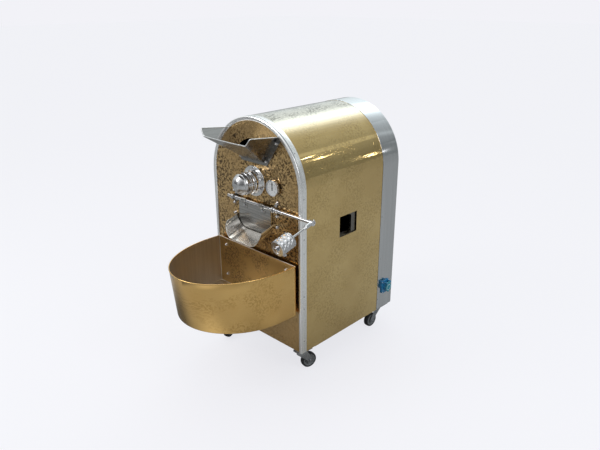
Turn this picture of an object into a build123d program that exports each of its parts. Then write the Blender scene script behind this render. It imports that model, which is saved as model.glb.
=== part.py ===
from build123d import *
import math
import os

# Drum roaster for chickpeas, built on a wheeled base. Millimetres, +Z up.
# Working frame: X right of the middle plane, Y back from the front panel face, Z up from the casing's lower edge.
# On export everything is shifted so that the origin is under the middle of the whole machine, on the floor.

os.makedirs("parts", exist_ok=True)

# ---------------------------------------------------------------- driving dimensions
HALF_W = 300.0          # half width of the casing, and radius of its arched top
Z_AXIS = 802.0          # height of the arch centre above the casing's lower edge
Z_DRUM = 806.0          # height of the drum axis
SHEET = 1.5             # casing sheet
Y_WRAP_END = 600.0      # gold wrap runs under the rear band to here
Y_BAND = 586.0          # front edge of the rear band
Y_BACK = 715.0          # rear face of the casing
TRIM_DEPTH = 30.0       # side band of the front edging
TRIM_LIP = 20.0         # front lip of the front edging
FLOOR = -125.0          # floor below the casing's lower edge
WALL_T = 4.0            # front wall plate behind the gold panel

DRUM_R = 235.0
DRUM_T = 2.0
DRUM_Y0, DRUM_Y1 = 8.0, 566.0
SHAFT_R = 15.0
LINER_R = 262.0

FEED_W_LOW, FEED_W_HIGH = 62.0, 100.0
FEED_Z0, FEED_Z1, FEED_Z2 = 914.0, 965.0, 1003.0

GATE_Y, GATE_Z = -16.0, 700.0     # gate shaft axis
GATE_R = 8.0
GATE_X0, GATE_X1 = -180.0, 374.0
FLAP_W = 110.0
FLAP_Z0, FLAP_Z1 = 560.0, 694.0
FLAP_CR = 52.0          # round lower corners of the flap
OPEN_W = 104.0
OPEN_Z0, OPEN_Z1 = 602.0, 684.0
NECK_Y = -6.0
SPOUT_W = 122.0
ARM_X = 374.0
ARM_TILT = 15.5
WEIGHT_R, WEIGHT_L, WEIGHT_S = 36.0, 78.0, 175.0
ARM_R = 5.0

TRAY_Y = -12.0          # outside of the tray's back wall
TRAY_T = 2.0
TRAY_LOW = (268.0, 100.0, 322.0, 205.0, -0.040)    # half width, straight side, nose depth, height, slope
TRAY_RIM = (267.0, 62.0, 392.0, 459.0, -0.026)

BEND_LENGTHS = 8        # bent lengths in the edging and in the rear band
JOINT = 0.1             # gap of hairline joints

THERM_X, THERM_Z = 133.0, 802.0   # thermometer axis
THERM_R = 38.0

PORT_Y0, PORT_Y1 = 260.0, 387.0
PORT_Z0, PORT_Z1 = 526.0, 630.0
SHUT_EDGE = 338.0       # front edge of the shutter at rest

INLET_Y, INLET_Z = 650.0, 124.0
INLET_W, INLET_H = 62.0, 72.0       # flange of the power inlet
INLET_R = 22.0                      # its collar
INLET_DY, INLET_DZ = 25.5, 29.5     # its screws

CASTERS = {             # swivel axis x, y and the direction in which the wheel trails
    "fr": (252.0, 32.0, 75.0),
    "fl": (-252.0, 32.0, -72.0),
    "rr": (252.0, 650.0, -92.0),
    "rl": (-252.0, 650.0, 250.0),
}
TRAIL, WHEEL_R, WHEEL_T = 50.0, 40.0, 26.0

CHAIN_PITCH = 15.875
TEETH_DRUM, TEETH_MOTOR = 48, 15
R_DRUM_SPR = CHAIN_PITCH / (2 * math.sin(math.pi / TEETH_DRUM))
R_MOTOR_SPR = CHAIN_PITCH / (2 * math.sin(math.pi / TEETH_MOTOR))
Z_MOTOR = 150.0
SPR_Y0, SPR_Y1 = 651.0, 658.0

X_SHIFT, Y_SHIFT = 53.5, 141.0   # middle of the whole machine in the working frame

nodes = {}


# ---------------------------------------------------------------- helpers
def bx(x0, x1, y0, y1, z0, z1):
    return Pos((x0 + x1) / 2, (y0 + y1) / 2, (z0 + z1) / 2) * Box(abs(x1 - x0), abs(y1 - y0), abs(z1 - z0))


def cyl_y(x, z, r, y0, y1):
    return Pos(x, (y0 + y1) / 2, z) * Rot(90, 0, 0) * Cylinder(r, abs(y1 - y0))


def cyl_x(y, z, r, x0, x1):
    return Pos((x0 + x1) / 2, y, z) * Rot(0, 90, 0) * Cylinder(r, abs(x1 - x0))


def cyl_z(x, y, r, z0, z1):
    return Pos(x, y, (z0 + z1) / 2) * Cylinder(r, abs(z1 - z0))


def arch(hw, zb, y0, y1):
    return bx(-hw, hw, y0, y1, zb, Z_AXIS) + cyl_y(0, Z_AXIS, hw, y0, y1)


def poly(points, vec):
    """Closed polygon of 3-D points, pushed along vec."""
    v = Vector(*vec)
    face = make_face(Polyline(*points, close=True))
    return extrude(face, amount=v.length, dir=v.normalized())


def prism_x(pts_yz, x0, x1):
    return poly([(x0, y, z) for y, z in pts_yz], (x1 - x0, 0, 0))


def prism_y(pts_xz, y0, y1):
    return poly([(x, y0, z) for x, z in pts_xz], (0, y1 - y0, 0))


def keep(name, shape):
    nodes[name] = shape


# ---------------------------------------------------------------- bolts on the front
# x, z, seat height (y), hex bolts with washer; the shank runs back through the panel and the wall
BOLTS = []
for s in (-1, 1):
    BOLTS += [(s * 153.0, 1006.0, -2.0), (s * 86.0, 913.0, -2.0)]
    BOLTS += [(s * 148.0, z, 0.0) for z in (613.0, 667.0, 729.0)]
TRAY_BOLTS = [(s * 215.0, z) for s in (-1, 1) for z in (262.0, 425.0)]
BOLTS += [(x, z, TRAY_Y - TRAY_T) for x, z in TRAY_BOLTS]
HOUSING_BOLTS = [
    (60.0 * math.cos(math.radians(a)), Z_DRUM + 60.0 * math.sin(math.radians(a))) for a in (30, 90, 150, 210, 270, 330)
]
BOLT_R = 4.0
HOUSING_BOLT_R = 3.0


def bolt(x, z, seat, r=BOLT_R, end=5.4):
    head = Pos(x, seat - 1.6, z) * Rot(90, 0, 0) * extrude(RegularPolygon(radius=r * 1.87, side_count=6), amount=r * 1.3)
    dome = Pos(x, seat - 1.6 - r * 1.3, z) * Sphere(r * 1.35)
    dome = dome - bx(x - 30, x + 30, seat - 1.6 - r * 1.3, seat + 60, z - 30, z + 30)
    return head + dome + cyl_y(x, z, r * 2.0, seat - 1.6, seat) + cyl_y(x, z, r, seat, end)


def bolt_holes(y0, y1, r=4.25):
    cut = None
    for x, z, _ in BOLTS:
        c = cyl_y(x, z, r, y0, y1)
        cut = c if cut is None else cut + c
    for x, z in HOUSING_BOLTS:
        cut = cut + cyl_y(x, z, HOUSING_BOLT_R + 0.2, y0, y1)
    return cut


def feed_cut(y0, y1, grow=0.0):
    g = grow
    lower = prism_y(
        [(-FEED_W_LOW - g, FEED_Z0 - g), (FEED_W_LOW + g, FEED_Z0 - g), (FEED_W_HIGH + g, FEED_Z1), (-FEED_W_HIGH - g, FEED_Z1)],
        y0, y1,
    )
    # round top through the two upper corners and the crown
    sag = FEED_Z2 + g - FEED_Z1
    half = FEED_W_HIGH + g
    rad = (half * half + sag * sag) / (2 * sag)
    top = cyl_y(0, FEED_Z2 + g - rad, rad, y0, y1) & bx(-half, half, y0, y1, FEED_Z1, FEED_Z2 + g + 5)
    return lower + top


# ---------------------------------------------------------------- base
angle = bx(-297, 297, 8, 707, 0, 40) - bx(-293, 293, 12, 703, 4, 41) - bx(-257, 257, 48, 667, -1, 5)
for cx, cy, _ in CASTERS.values():
    ang = bx(cx - 56, cx + 56, cy - 26 if cy < 300 else cy - 46, cy + 46, 0, 4) & bx(-297, 297, 8, 707, 0, 4)
    angle = angle + ang
caster_bolt_at = []
for cx, cy, _ in CASTERS.values():
    for dx in (-36, 36):
        for dy in ((-8, 32) if cy < 300 else (-20, 28)):
            caster_bolt_at.append((cx + dx if cx > 0 else cx - dx, cy + dy))
for x, y in caster_bolt_at:
    angle = angle - cyl_z(x, y, 4.2, -1, 6)
for cx, cy, _ in CASTERS.values():
    angle = angle - cyl_z(cx, cy, 9.0, -1, 6)
keep("base_frame", angle)

pan = bx(-292.5, 292.5, 12.5, 702.5, 4, 6)
for x, y in caster_bolt_at:
    pan = pan - cyl_z(x, y, 9.5, 3, 7)
for cx, cy, _ in CASTERS.values():
    pan = pan - cyl_z(cx, cy, 12.0, 3, 7)
for i in range(6):
    for s in (-1, 1):
        y = 130 + 26 * i
        pan = pan - bx(s * 190 - 45, s * 190 + 45, y, y + 8, 3, 7)
keep("base_pan", pan)

# ---------------------------------------------------------------- casing shells
panel = arch(298.0, 0, 0, SHEET)
wall = arch(297.0, 41, SHEET, SHEET + WALL_T)
for cutter_y in ((-5, 30),):
    cut = feed_cut(-5, 30) + bolt_holes(-5, 30)
    cut = cut + bx(-OPEN_W, OPEN_W, -5, 30, OPEN_Z0, OPEN_Z1) + cyl_y(THERM_X, THERM_Z, 6.2, -5, 30)
    cut = cut + cyl_y(0, Z_DRUM, 19.0, -5, 30)
    panel = panel - cut
    wall = wall - cut
panel = panel - bx(-OPEN_W - 2.1, OPEN_W + 2.1, -5, 5, OPEN_Z0 - 2.1, OPEN_Z1 + 2.1)
keep("front_panel", panel)


def courses(sheet, y0, y1, *levels):
    """A plate made up of courses that meet in level hairline joints beside its openings."""
    for z in levels:
        sheet = sheet - bx(-310, 310, y0, y1, z - JOINT / 2, z + JOINT / 2)
    return sheet


keep("front_wall", courses(wall, 0, 20, OPEN_Z0 + 1, OPEN_Z1 - 1, FEED_Z0 + 7, FEED_Z1 + 21))

wrap = arch(HALF_W, 0, SHEET, Y_WRAP_END) - arch(HALF_W - SHEET, -5, 0, Y_WRAP_END + 5)
wrap = wrap + bx(-HALF_W, -HALF_W + 16, 31, Y_WRAP_END, -2, 0) + bx(HALF_W - 16, HALF_W, 31, Y_WRAP_END, -2, 0)
for cx, cy, _ in CASTERS.values():
    wrap = wrap - bx(cx - 60, cx + 60, cy - 60, cy + 60, -3, 0)
wrap = wrap - bx(280, 310, PORT_Y0, PORT_Y1, PORT_Z0, PORT_Z1)
keep("side_wrap", wrap)

trim = arch(HALF_W + SHEET, 0, -SHEET, TRIM_DEPTH) - arch(HALF_W, -5, 0, TRIM_DEPTH + 5)
trim = trim - arch(HALF_W + SHEET - TRIM_LIP, -5, -5, 5)


def butted(strip, y0, y1, r0, r1):
    """An arched strip made up of straight legs and short bent lengths that meet in hairline joints."""
    for k in range(BEND_LENGTHS + 1):
        a = 180.0 * k / BEND_LENGTHS
        slit = Pos((r0 + r1) / 2, 0, 0) * Box(r1 - r0, y1 - y0, JOINT)
        strip = strip - Pos(0, (y0 + y1) / 2, Z_AXIS) * Rot(0, -a, 0) * slit
    return strip


keep("front_trim", butted(trim, -10, 40, 270, 310))

band = arch(HALF_W + SHEET, 0, Y_BAND, Y_BACK) - arch(HALF_W, -5, Y_BAND - 5, Y_BACK + 5)
band = band - cyl_x(INLET_Y, INLET_Z, INLET_R + 3, 280, 320)
for dy in (-INLET_DY, INLET_DY):
    for dz in (-INLET_DZ, INLET_DZ):
        band = band - cyl_x(INLET_Y + dy, INLET_Z + dz, 2.6, 280, 320)
keep("rear_band", butted(band, Y_BAND - 5, Y_BACK + 5, 290, 310))

FLUE_Z = 1010.0
GAS_X, GAS_Z = -200.0, 455.0
back = arch(299.8, 0, Y_BACK - SHEET, Y_BACK) - cyl_y(0, FLUE_Z, 50.3, 700, 730) - cyl_y(GAS_X, GAS_Z, 15.0, 700, 730)
for i in range(7):
    for s in (-1, 1):
        z = 140 + 26 * i
        back = back - bx(s * 120 - 70, s * 120 + 70, 700, 730, z, z + 9)
for i in range(4):
    z = 560 + 26 * i
    back = back - bx(-110, 110, 700, 730, z, z + 9)
keep("rear_panel", courses(back, Y_BACK - 10, Y_BACK + 10, FLUE_Z - 34, FLUE_Z + 34))

bulk = arch(298.2, 41, 582, 585) - cyl_y(0, Z_DRUM, 22.0, 570, 600) - cyl_y(0, FLUE_Z, 50.3, 570, 600)
bulk = bulk - cyl_y(GAS_X, GAS_Z, 13.5, 570, 600) - cyl_y(0, Z_MOTOR, 16.0, 570, 600)
keep("bulkhead", courses(bulk, 575, 595, FLUE_Z - 34, FLUE_Z + 34))

liner = arch(LINER_R, 384, 6, 581) - arch(LINER_R - SHEET, 380, 0, 590)
liner = liner - bx(240, 280, PORT_Y0, PORT_Y1, PORT_Z0, PORT_Z1) - cyl_y(0, FLUE_Z, 0.5, 700, 701)
keep("inner_liner", liner)
wool = arch(298.2, 384, 6, 581) - arch(LINER_R + 0.2, 380, 0, 590)
wool = wool - bx(255, 310, 248, 542, 508, 648)
keep("insulation", wool)

# screws round the front edging, on the rear band and on the rear panel: pan heads
screws = None
for s in (-1, 1):
    for z in (65, 240, 304, 522, 590, 780):
        c = cyl_x(13, z, 3.6, s * 301.5, s * 303.0)
        screws = c if screws is None else screws + c
    for z in (60, 300, 540, 760):
        screws = screws + cyl_x(594, z, 3.6, s * 301.5, s * 303.0)
    for z in (40, 280, 520, 760):
        screws = screws + cyl_y(s * 286, z, 3.6, Y_BACK, Y_BACK + 2)
for deg in (35, 90, 145):
    a = math.radians(deg)
    screws = screws + cyl_y(286 * math.cos(a), Z_AXIS + 286 * math.sin(a), 3.6, Y_BACK, Y_BACK + 2)
    for y in (13, 594):
        screws = screws + Pos(0, y, Z_AXIS) * Rot(0, 90 - deg, 0) * Pos(0, 0, 302.25) * Cylinder(3.6, 1.9)
screws = screws - arch(HALF_W + SHEET, -5, -5, Y_BACK)
for dy in (-INLET_DY, INLET_DY):
    for dz in (-INLET_DZ, INLET_DZ):
        screws = screws + cyl_x(INLET_Y + dy, INLET_Z + dz, 3.6, 308.5, 310.5) + cyl_x(INLET_Y + dy, INLET_Z + dz, 2.0, 300, 308.5)
keep("casing_screws", screws)

# ---------------------------------------------------------------- side port shutter
SHX0, SHX1 = 291.0, 293.0
shut = bx(SHX0, SHX1, SHUT_EDGE, SHUT_EDGE + 138, PORT_Z0 - 8, PORT_Z1 + 8)
shut = shut + bx(SHX0, 305.0, SHUT_EDGE, SHUT_EDGE + 2.0, PORT_Z0 + 6, PORT_Z1 - 6)
keep("port_shutter", shut)
rails = None
for z0, z1, zi0, zi1 in (
    (PORT_Z0 - 13, PORT_Z0 - 2, PORT_Z0 - 8.6, PORT_Z0 + 5),
    (PORT_Z1 + 2, PORT_Z1 + 13, PORT_Z1 - 5, PORT_Z1 + 8.6),
):
    r = bx(288.5, 298.5, 250, 540, z0, z1) - bx(SHX0 - 0.5, SHX1 + 0.5, 240, 550, zi0, zi1)
    rails = r if rails is None else rails + r
keep("shutter_rails", rails)

# ---------------------------------------------------------------- drum
# an open tube; its rear end plate is one piece with the shaft
shell = cyl_y(0, Z_DRUM, DRUM_R, DRUM_Y0, DRUM_Y1) - cyl_y(0, Z_DRUM, DRUM_R - DRUM_T, DRUM_Y0 - 5, DRUM_Y1 + 5)
keep("drum_shell", shell)

shaft = cyl_y(0, Z_DRUM, SHAFT_R, -92, 668)
spider = cyl_y(0, Z_DRUM, 26, 88, 118)
for k in range(3):
    arm = bx(20, DRUM_R - DRUM_T - 0.4, 96, 104, -13, 13)
    spider = spider + Pos(0, 0, Z_DRUM) * Rot(0, 30 + 120 * k, 0) * arm
spider = spider - (cyl_y(0, Z_DRUM, 400, 80, 125) - cyl_y(0, Z_DRUM, DRUM_R - DRUM_T - 0.05, 79, 126))
rear_hub = cyl_y(0, Z_DRUM, 34, 540, DRUM_Y1 - 4)
rear_plate = cyl_y(0, Z_DRUM, DRUM_R - DRUM_T - 0.05, DRUM_Y1 - 4, DRUM_Y1)
keep("drum_shaft", shaft + spider + rear_hub + rear_plate)

vanes = None
for k in range(4):
    v = bx(198, DRUM_R - DRUM_T - 0.4, 112, 556, -1.5, 1.5) + bx(198, 201, 112, 556, -1.5, 16)
    v = Pos(0, 0, Z_DRUM) * Rot(0, 90 * k, 0) * v
    vanes = v if vanes is None else vanes + v
keep("drum_vanes", vanes)


def sprocket(zc, rp, teeth, hub_r, hub_y0, hub_y1):
    d = cyl_y(0, zc, rp + 3.0, SPR_Y0, SPR_Y1)
    for k in range(teeth):
        a = 2 * math.pi * (k + 0.5) / teeth
        d = d - cyl_y(rp * math.cos(a), zc + rp * math.sin(a), 5.2, SPR_Y0 - 1, SPR_Y1 + 1)
    return d + cyl_y(0, zc, hub_r, hub_y0, hub_y1)


spr = sprocket(Z_DRUM, R_DRUM_SPR, TEETH_DRUM, 34, 636, 666)
for k in range(5):
    a = math.radians(90 + 72 * k)
    spr = spr - cyl_y(72 * math.cos(a), Z_DRUM + 72 * math.sin(a), 26, 640, 670)
spr = spr - cyl_y(0, Z_DRUM, SHAFT_R + 0.05, 630, 680)
keep("drum_sprocket", spr)
mspr = sprocket(Z_MOTOR, R_MOTOR_SPR, TEETH_MOTOR, 22, 640, 668) + cyl_y(0, Z_MOTOR, 10.0, 505, 674)
keep("motor_sprocket", mspr)


def loop(grow, y0, y1):
    ring = []
    for cz, rad in ((Z_DRUM, R_DRUM_SPR + grow), (Z_MOTOR, R_MOTOR_SPR + grow)):
        ring.append((cz, rad))
    (z1, r1), (z2, r2) = ring
    # outer tangents of the two circles
    a = math.asin((r1 - r2) / (z1 - z2))
    pts = [
        (r1 * math.cos(a), z1 - r1 * math.sin(a)),
        (r2 * math.cos(a), z2 - r2 * math.sin(a)),
        (-r2 * math.cos(a), z2 - r2 * math.sin(a)),
        (-r1 * math.cos(a), z1 - r1 * math.sin(a)),
    ]
    return prism_y(pts, y0, y1) + cyl_y(0, z1, r1, y0, y1) + cyl_y(0, z2, r2, y0, y1)


chain = loop(7.5, 646, 663) - loop(-7.0, 640, 670)
chain = chain - (loop(5.0, 649.5, 659.5) - loop(-8.0, 640, 670))
keep("drive_chain", chain)

# ---------------------------------------------------------------- bearings and housing
hsg = cyl_y(0, Z_DRUM, 72.5, -9, 0) + cyl_y(0, Z_DRUM, 44, -60, -9) + cyl_y(0, Z_DRUM, 47, -14, -9)
hsg = hsg - cyl_y(0, Z_DRUM, 18.0, -70, 5) - cyl_y(0, Z_DRUM, 31.0, -70, -34)
for x, z in HOUSING_BOLTS:
    hsg = hsg - cyl_y(x, z, HOUSING_BOLT_R + 0.2, -20, 5)
keep("bearing_housing", hsg)
brg = cyl_y(0, Z_DRUM, 30.95, -50, -34) - cyl_y(0, Z_DRUM, SHAFT_R + 0.05, -60, -20)
keep("front_bearing", brg)
CAP_R, CAP_Y, CAP_DOME = 51.0, -78.0, 43.0     # bearing cap: radius, front of its straight part, height of its dome
cap_profile = [(0, CAP_Y - CAP_DOME)]
for k in range(1, 13):
    a = math.radians(90 - 7.5 * k)
    step = 0.0 if k > 9 else 1.2
    cap_profile.append(((CAP_R - step) * math.cos(a), CAP_Y - CAP_DOME * math.sin(a)))
cap_profile += [(CAP_R, -72), (CAP_R - 1.2, -71.2), (CAP_R - 1.2, -69.8), (CAP_R, -69), (CAP_R, -63), (CAP_R - 1.5, -60), (0, -60)]
cap_face = make_face(Polyline(*[(r, y, 0) for r, y in cap_profile], close=True))
cap = Pos(0, 0, Z_DRUM) * revolve(cap_face, axis=Axis.Y)
cap = cap - cyl_y(0, Z_DRUM, 24.0, -98, -50)
keep("bearing_cap", cap)
rb = bx(-54, 54, 585, 599, Z_DRUM - 54, Z_DRUM + 54) + cyl_y(0, Z_DRUM, 40, 599, 622)
rb = rb - cyl_y(0, Z_DRUM, SHAFT_R + 0.05, 570, 640)
for dx in (-41, 41):
    for dz in (-41, 41):
        rb = rb - cyl_y(dx, Z_DRUM + dz, 5.5, 580, 610)
keep("rear_bearing", rb)

# ---------------------------------------------------------------- drive
motor = bx(-60, 60, 462, 560, Z_MOTOR - 60, Z_MOTOR + 60) + cyl_y(0, Z_MOTOR, 56, 300, 462) + cyl_y(0, Z_MOTOR, 60, 262, 300)
motor = motor + bx(40, 86, 350, 420, Z_MOTOR - 30, Z_MOTOR + 30) + cyl_y(0, Z_MOTOR, 34, 560, 572)
motor = motor - cyl_y(0, Z_MOTOR, 10.05, 500, 580)
keep("gearmotor", motor)
mount = bx(-85, 85, 455, 566, 84, 90) + bx(-85, -79, 455, 566, 6, 84) + bx(79, 85, 455, 566, 6, 84)
mount = mount + bx(-120, -85, 455, 566, 6, 12) + bx(85, 120, 455, 566, 6, 12)
keep("motor_mount", mount)

# ---------------------------------------------------------------- burner
tubes = None
for x in (-110, 0, 110):
    t = cyl_y(x, GAS_Z, 18, 70, 532) - cyl_y(x, GAS_Z, 15.5, 74, 528)
    t = t - cyl_y(x, GAS_Z, 5.0, 520, 540)
    for i in range(22):
        t = t - cyl_z(x, 90 + 20 * i, 2.0, GAS_Z, GAS_Z + 30)
    tubes = t if tubes is None else tubes + t
keep("burner_tubes", tubes)
man = cyl_x(552, GAS_Z, 12, -212, 130)
for x in (-110, 0, 110):
    man = man + cyl_y(x, GAS_Z, 8, 532, 552)
man = man + cyl_y(GAS_X, GAS_Z, 12, 552, 716) + cyl_y(GAS_X, GAS_Z, 14.5, 716, 722) + cyl_y(GAS_X, GAS_Z, 10.5, 722, 748)
man = man - cyl_y(GAS_X, GAS_Z, 7.0, 560, 760)
keep("gas_manifold", man)
shield = bx(-262, 262, 6, 581, 380, 382)
for y in (92, 500):
    shield = shield + bx(-150, 150, y, y + 4, 382, 436.5) + bx(-150, 150, y, y + 24, 382, 384)
for i in range(8):
    shield = shield - bx(-235, -165, 140 + 40 * i, 156 + 40 * i, 370, 390) - bx(165, 235, 140 + 40 * i, 156 + 40 * i, 370, 390)
keep("heat_shield", shield)
flue = cyl_y(0, FLUE_Z, 50.0, 582, 748) - cyl_y(0, FLUE_Z, 48.5, 570, 760)
flue = flue + (cyl_y(0, FLUE_Z, 60.0, Y_BACK, Y_BACK + 3) - cyl_y(0, FLUE_Z, 48.5, 700, 760))
keep("flue_spigot", flue)

# ---------------------------------------------------------------- feed hopper
# a trough between two leaning sides and a sloping floor, wider at the top than at the panel
HT = 2.0
A, B = Vector(66.0, 0.0, 905.0), Vector(158.0, 0.0, 1033.0)
Dd = Vector(139.0, -170.0, 1020.0)
n_right = (B - A).cross(Dd - A).normalized()
if n_right.X < 0:
    n_right = n_right * -1
n_left = Vector(-n_right.X, n_right.Y, n_right.Z)
n_floor = Vector(0.0, -115.0, -170.0).normalized()


def half_space(point, normal, d):
    return Plane(origin=tuple(point + normal * d), z_dir=tuple(normal)) * (Pos(0, 0, -400) * Box(1600, 1600, 800))


def trough_region(d):
    r = half_space(A, n_right, d) & half_space(Vector(-A.X, A.Y, A.Z), n_left, d)
    return r & half_space(A, n_floor, d)


hop = trough_region(HT) - trough_region(0.0)
hop = hop & prism_x([(0, 1033), (-165, 1053), (-170, 1020.6), (-174, 1018.4), (-173, 1014.5), (0, 896)], -260, 260)
tr = Vector(92, 0, 128).normalized()
no = Vector(tr.Z, 0, -tr.X)
FLG = 24.0
for s in (-1, 1):
    p = [
        (s * (A.X + 1.0), 905.0), (s * (B.X + 1.0), 1033.0),
        (s * (B.X + FLG * no.X + 8), 1033.0),
        (s * (B.X + FLG * no.X), 1033.0 + FLG * no.Z),
        (s * (A.X + FLG * no.X), 905.0 + FLG * no.Z),
    ]
    hop = hop + prism_y(p, -HT, 0)
hop = hop + bx(-A.X - 18, A.X + 18, -HT, 0, 891, 904.5)
for x, z, seat in BOLTS:
    if z > 900:
        hop = hop - cyl_y(x, z, 4.25, -10, 5)
hop = hop - feed_cut(-HT - 0.5, 5)
# room for the lip of the front edging
hop = hop - (arch(400, 700, -SHEET - 0.2, 5) - arch(HALF_W + SHEET - TRIM_LIP - 0.3, 600, -10, 10))
keep("feed_hopper", hop)

# ---------------------------------------------------------------- thermometer
TX, TZ = THERM_X, THERM_Z
case = cyl_y(TX, TZ, THERM_R, -22, -3) - cyl_y(TX, TZ, THERM_R - 3, -23, -15) + cyl_y(TX, TZ, 13, -3, 0) + cyl_y(TX, TZ, 6.0, 0, 46)
case = case - cyl_y(TX, TZ, 1.56, -16, -8)
keep("thermometer_case", case)
keep("thermometer_dial", cyl_y(TX, TZ, THERM_R - 3.2, -16.2, -15.0) - cyl_y(TX, TZ, 1.56, -20, -10))
needle = prism_y([(TX - 1.6, TZ - 10), (TX + 1.6, TZ - 10), (TX + 0.5, TZ + 28), (TX - 0.5, TZ + 28)], -17.6, -16.9)
needle = needle + cyl_y(TX, TZ, 3.6, -18.4, -16.7) + cyl_y(TX, TZ, 1.5, -17, -10)
keep("thermometer_needle", needle)
keep("thermometer_glass", cyl_y(TX, TZ, THERM_R - 3.1, -21.5, -19.5))

# ---------------------------------------------------------------- discharge neck and spout
neck = bx(-OPEN_W - 2, OPEN_W + 2, NECK_Y, SHEET, OPEN_Z0 - 2, OPEN_Z1 + 2) - bx(-OPEN_W, OPEN_W, NECK_Y - 5, 5, OPEN_Z0, OPEN_Z1)
SP_R, SP_T = 62.0, 2.0
Z_SP0, Z_SP1 = 556.0, 622.0  # trough's bottom and rim at the panel


def u_face(w, z0, z1, r):
    sk = Rectangle(2 * w, z1 - z0)
    sk = fillet(sk.vertices().sort_by(Axis.Y)[:2], r)
    return Plane(origin=(0, 0, (z0 + z1) / 2), x_dir=(1, 0, 0), z_dir=(0, -1, 0)) * sk


SP_DIR = Vector(0, -112, -35)
outer = extrude(u_face(SPOUT_W, Z_SP0, Z_SP1, SP_R), amount=SP_DIR.length, dir=SP_DIR.normalized())
inner = extrude(u_face(SPOUT_W - SP_T, Z_SP0 + SP_T, Z_SP1 + 60, SP_R - SP_T), amount=SP_DIR.length * 1.3, dir=SP_DIR.normalized())
inner = Pos(0, 6, 1.875) * inner
trough = outer - inner
# lip leans forward at its bottom
trough = trough - prism_x([(-72, 640), (-78, 602), (-92, 572), (-108, 500), (-200, 500), (-200, 640)], -200, 200)
spout = trough + (bx(-SPOUT_W, SPOUT_W, -2, 0, Z_SP0 + 4, OPEN_Z0 - 1) & outer)
spout = spout + neck
keep("discharge_spout", spout)

# lugs that carry the gate shaft, and the gate itself
brackets = None
for x in (-138.0, 138.0):
    b = bx(x - 4, x + 4, GATE_Y, 0, GATE_Z - 15, GATE_Z + 15) + cyl_x(GATE_Y, GATE_Z, 15.0, x - 4, x + 4)
    b = b + bx(x - 9, x + 9, -3, 0, GATE_Z - 22, GATE_Z + 20)
    b = b - cyl_x(GATE_Y, GATE_Z, GATE_R + 0.06, x - 10, x + 10)
    brackets = b if brackets is None else brackets + b
keep("gate_brackets", brackets)

gshaft = cyl_x(GATE_Y, GATE_Z, GATE_R, GATE_X0, GATE_X1 + 9)
for x in (-148.0, 148.0):
    gshaft = gshaft + cyl_x(GATE_Y, GATE_Z, 12.5, x - 4, x + 4)
keep("gate_shaft", gshaft)
d_arm = Vector(0, -math.cos(math.radians(ARM_TILT)), -math.sin(math.radians(ARM_TILT)))
arm_pl = Plane(origin=(ARM_X, GATE_Y, GATE_Z), x_dir=(1, 0, 0), z_dir=tuple(d_arm))
W0, W1 = WEIGHT_S - WEIGHT_L / 2, WEIGHT_S + WEIGHT_L / 2
arm = arm_pl * (Pos(0, 0, 13) * Cylinder(9.5, 52)) + cyl_x(GATE_Y, GATE_Z, 12.5, ARM_X - 11, ARM_X + 11)
arm = arm + arm_pl * (Pos(0, 0, 46) * Cone(9.5, ARM_R, 14) + Pos(0, 0, (50 + W1 + 3) / 2) * Cylinder(ARM_R, W1 + 3 - 50))
arm = arm + arm_pl * (Pos(0, 0, W1 + 5.5) * Cylinder(10.0, 9)) - cyl_x(GATE_Y, GATE_Z, GATE_R + 0.05, ARM_X - 30, ARM_X + 30)
keep("gate_arm", arm)
weight = arm_pl * (Pos(0, 0, WEIGHT_S) * Cylinder(WEIGHT_R, WEIGHT_L))
weight = fillet(weight.edges().filter_by(GeomType.CIRCLE), 3.0)
clamp = arm_pl * (Pos(0, 0, WEIGHT_S + 8) * Rot(90, 0, 0) * Pos(0, 0, -WEIGHT_R - 7) * (Cylinder(5.0, 18) + Pos(0, 0, -6) * Cylinder(8.5, 7)))
low = arm_pl * (Pos(0, 0, WEIGHT_S + 8) * Rot(90, 0, 0) * Pos(0, 0, WEIGHT_R + 7) * (Cylinder(5.0, 18) + Pos(0, 0, 6) * Cylinder(8.5, 7)))
if low.bounding_box().min.Z < clamp.bounding_box().min.Z:
    clamp = low
weight = weight + clamp
weight = weight - arm_pl * (Pos(0, 0, WEIGHT_S) * Cylinder(ARM_R + 0.05, WEIGHT_L + 10))
keep("counterweight", weight)

FY1, FY0 = NECK_Y - 0.4, NECK_Y - 3.4
STRAP_Z, STRAP_BOLT = 662.0, 676.0
corner = [
    (FLAP_W - FLAP_CR + FLAP_CR * math.cos(math.radians(a)), FLAP_Z0 + FLAP_CR - FLAP_CR * math.sin(math.radians(a)))
    for a in range(0, 91, 9)
]
flap = prism_y([(-FLAP_W, FLAP_Z1), (FLAP_W, FLAP_Z1)] + corner + [(-x, z) for x, z in reversed(corner)], FY0, FY1)
for x in (-62.0, 62.0):
    st = bx(x - 13, x + 13, FY0 - 4, FY0, STRAP_Z, GATE_Z)
    flap = flap + st + cyl_x(GATE_Y, GATE_Z, 12.0, x - 13, x + 13)
flap = flap - cyl_x(GATE_Y, GATE_Z, GATE_R + 0.05, -130, 130)
for x in (-62.0, 62.0):
    flap = flap - cyl_y(x, STRAP_BOLT, 3.6, -60, 0)
keep("gate_flap", flap)
gb = None
for x in (-62.0, 62.0):
    h = Pos(x, FY0 - 4, STRAP_BOLT) * Rot(90, 0, 0) * extrude(RegularPolygon(radius=7.0, side_count=6), amount=5)
    c = h + cyl_y(x, STRAP_BOLT, 3.5, FY0 - 4, FY1 - 0.2)
    gb = c if gb is None else gb + c
keep("gate_bolts", gb)

# ---------------------------------------------------------------- catch tray


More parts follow.
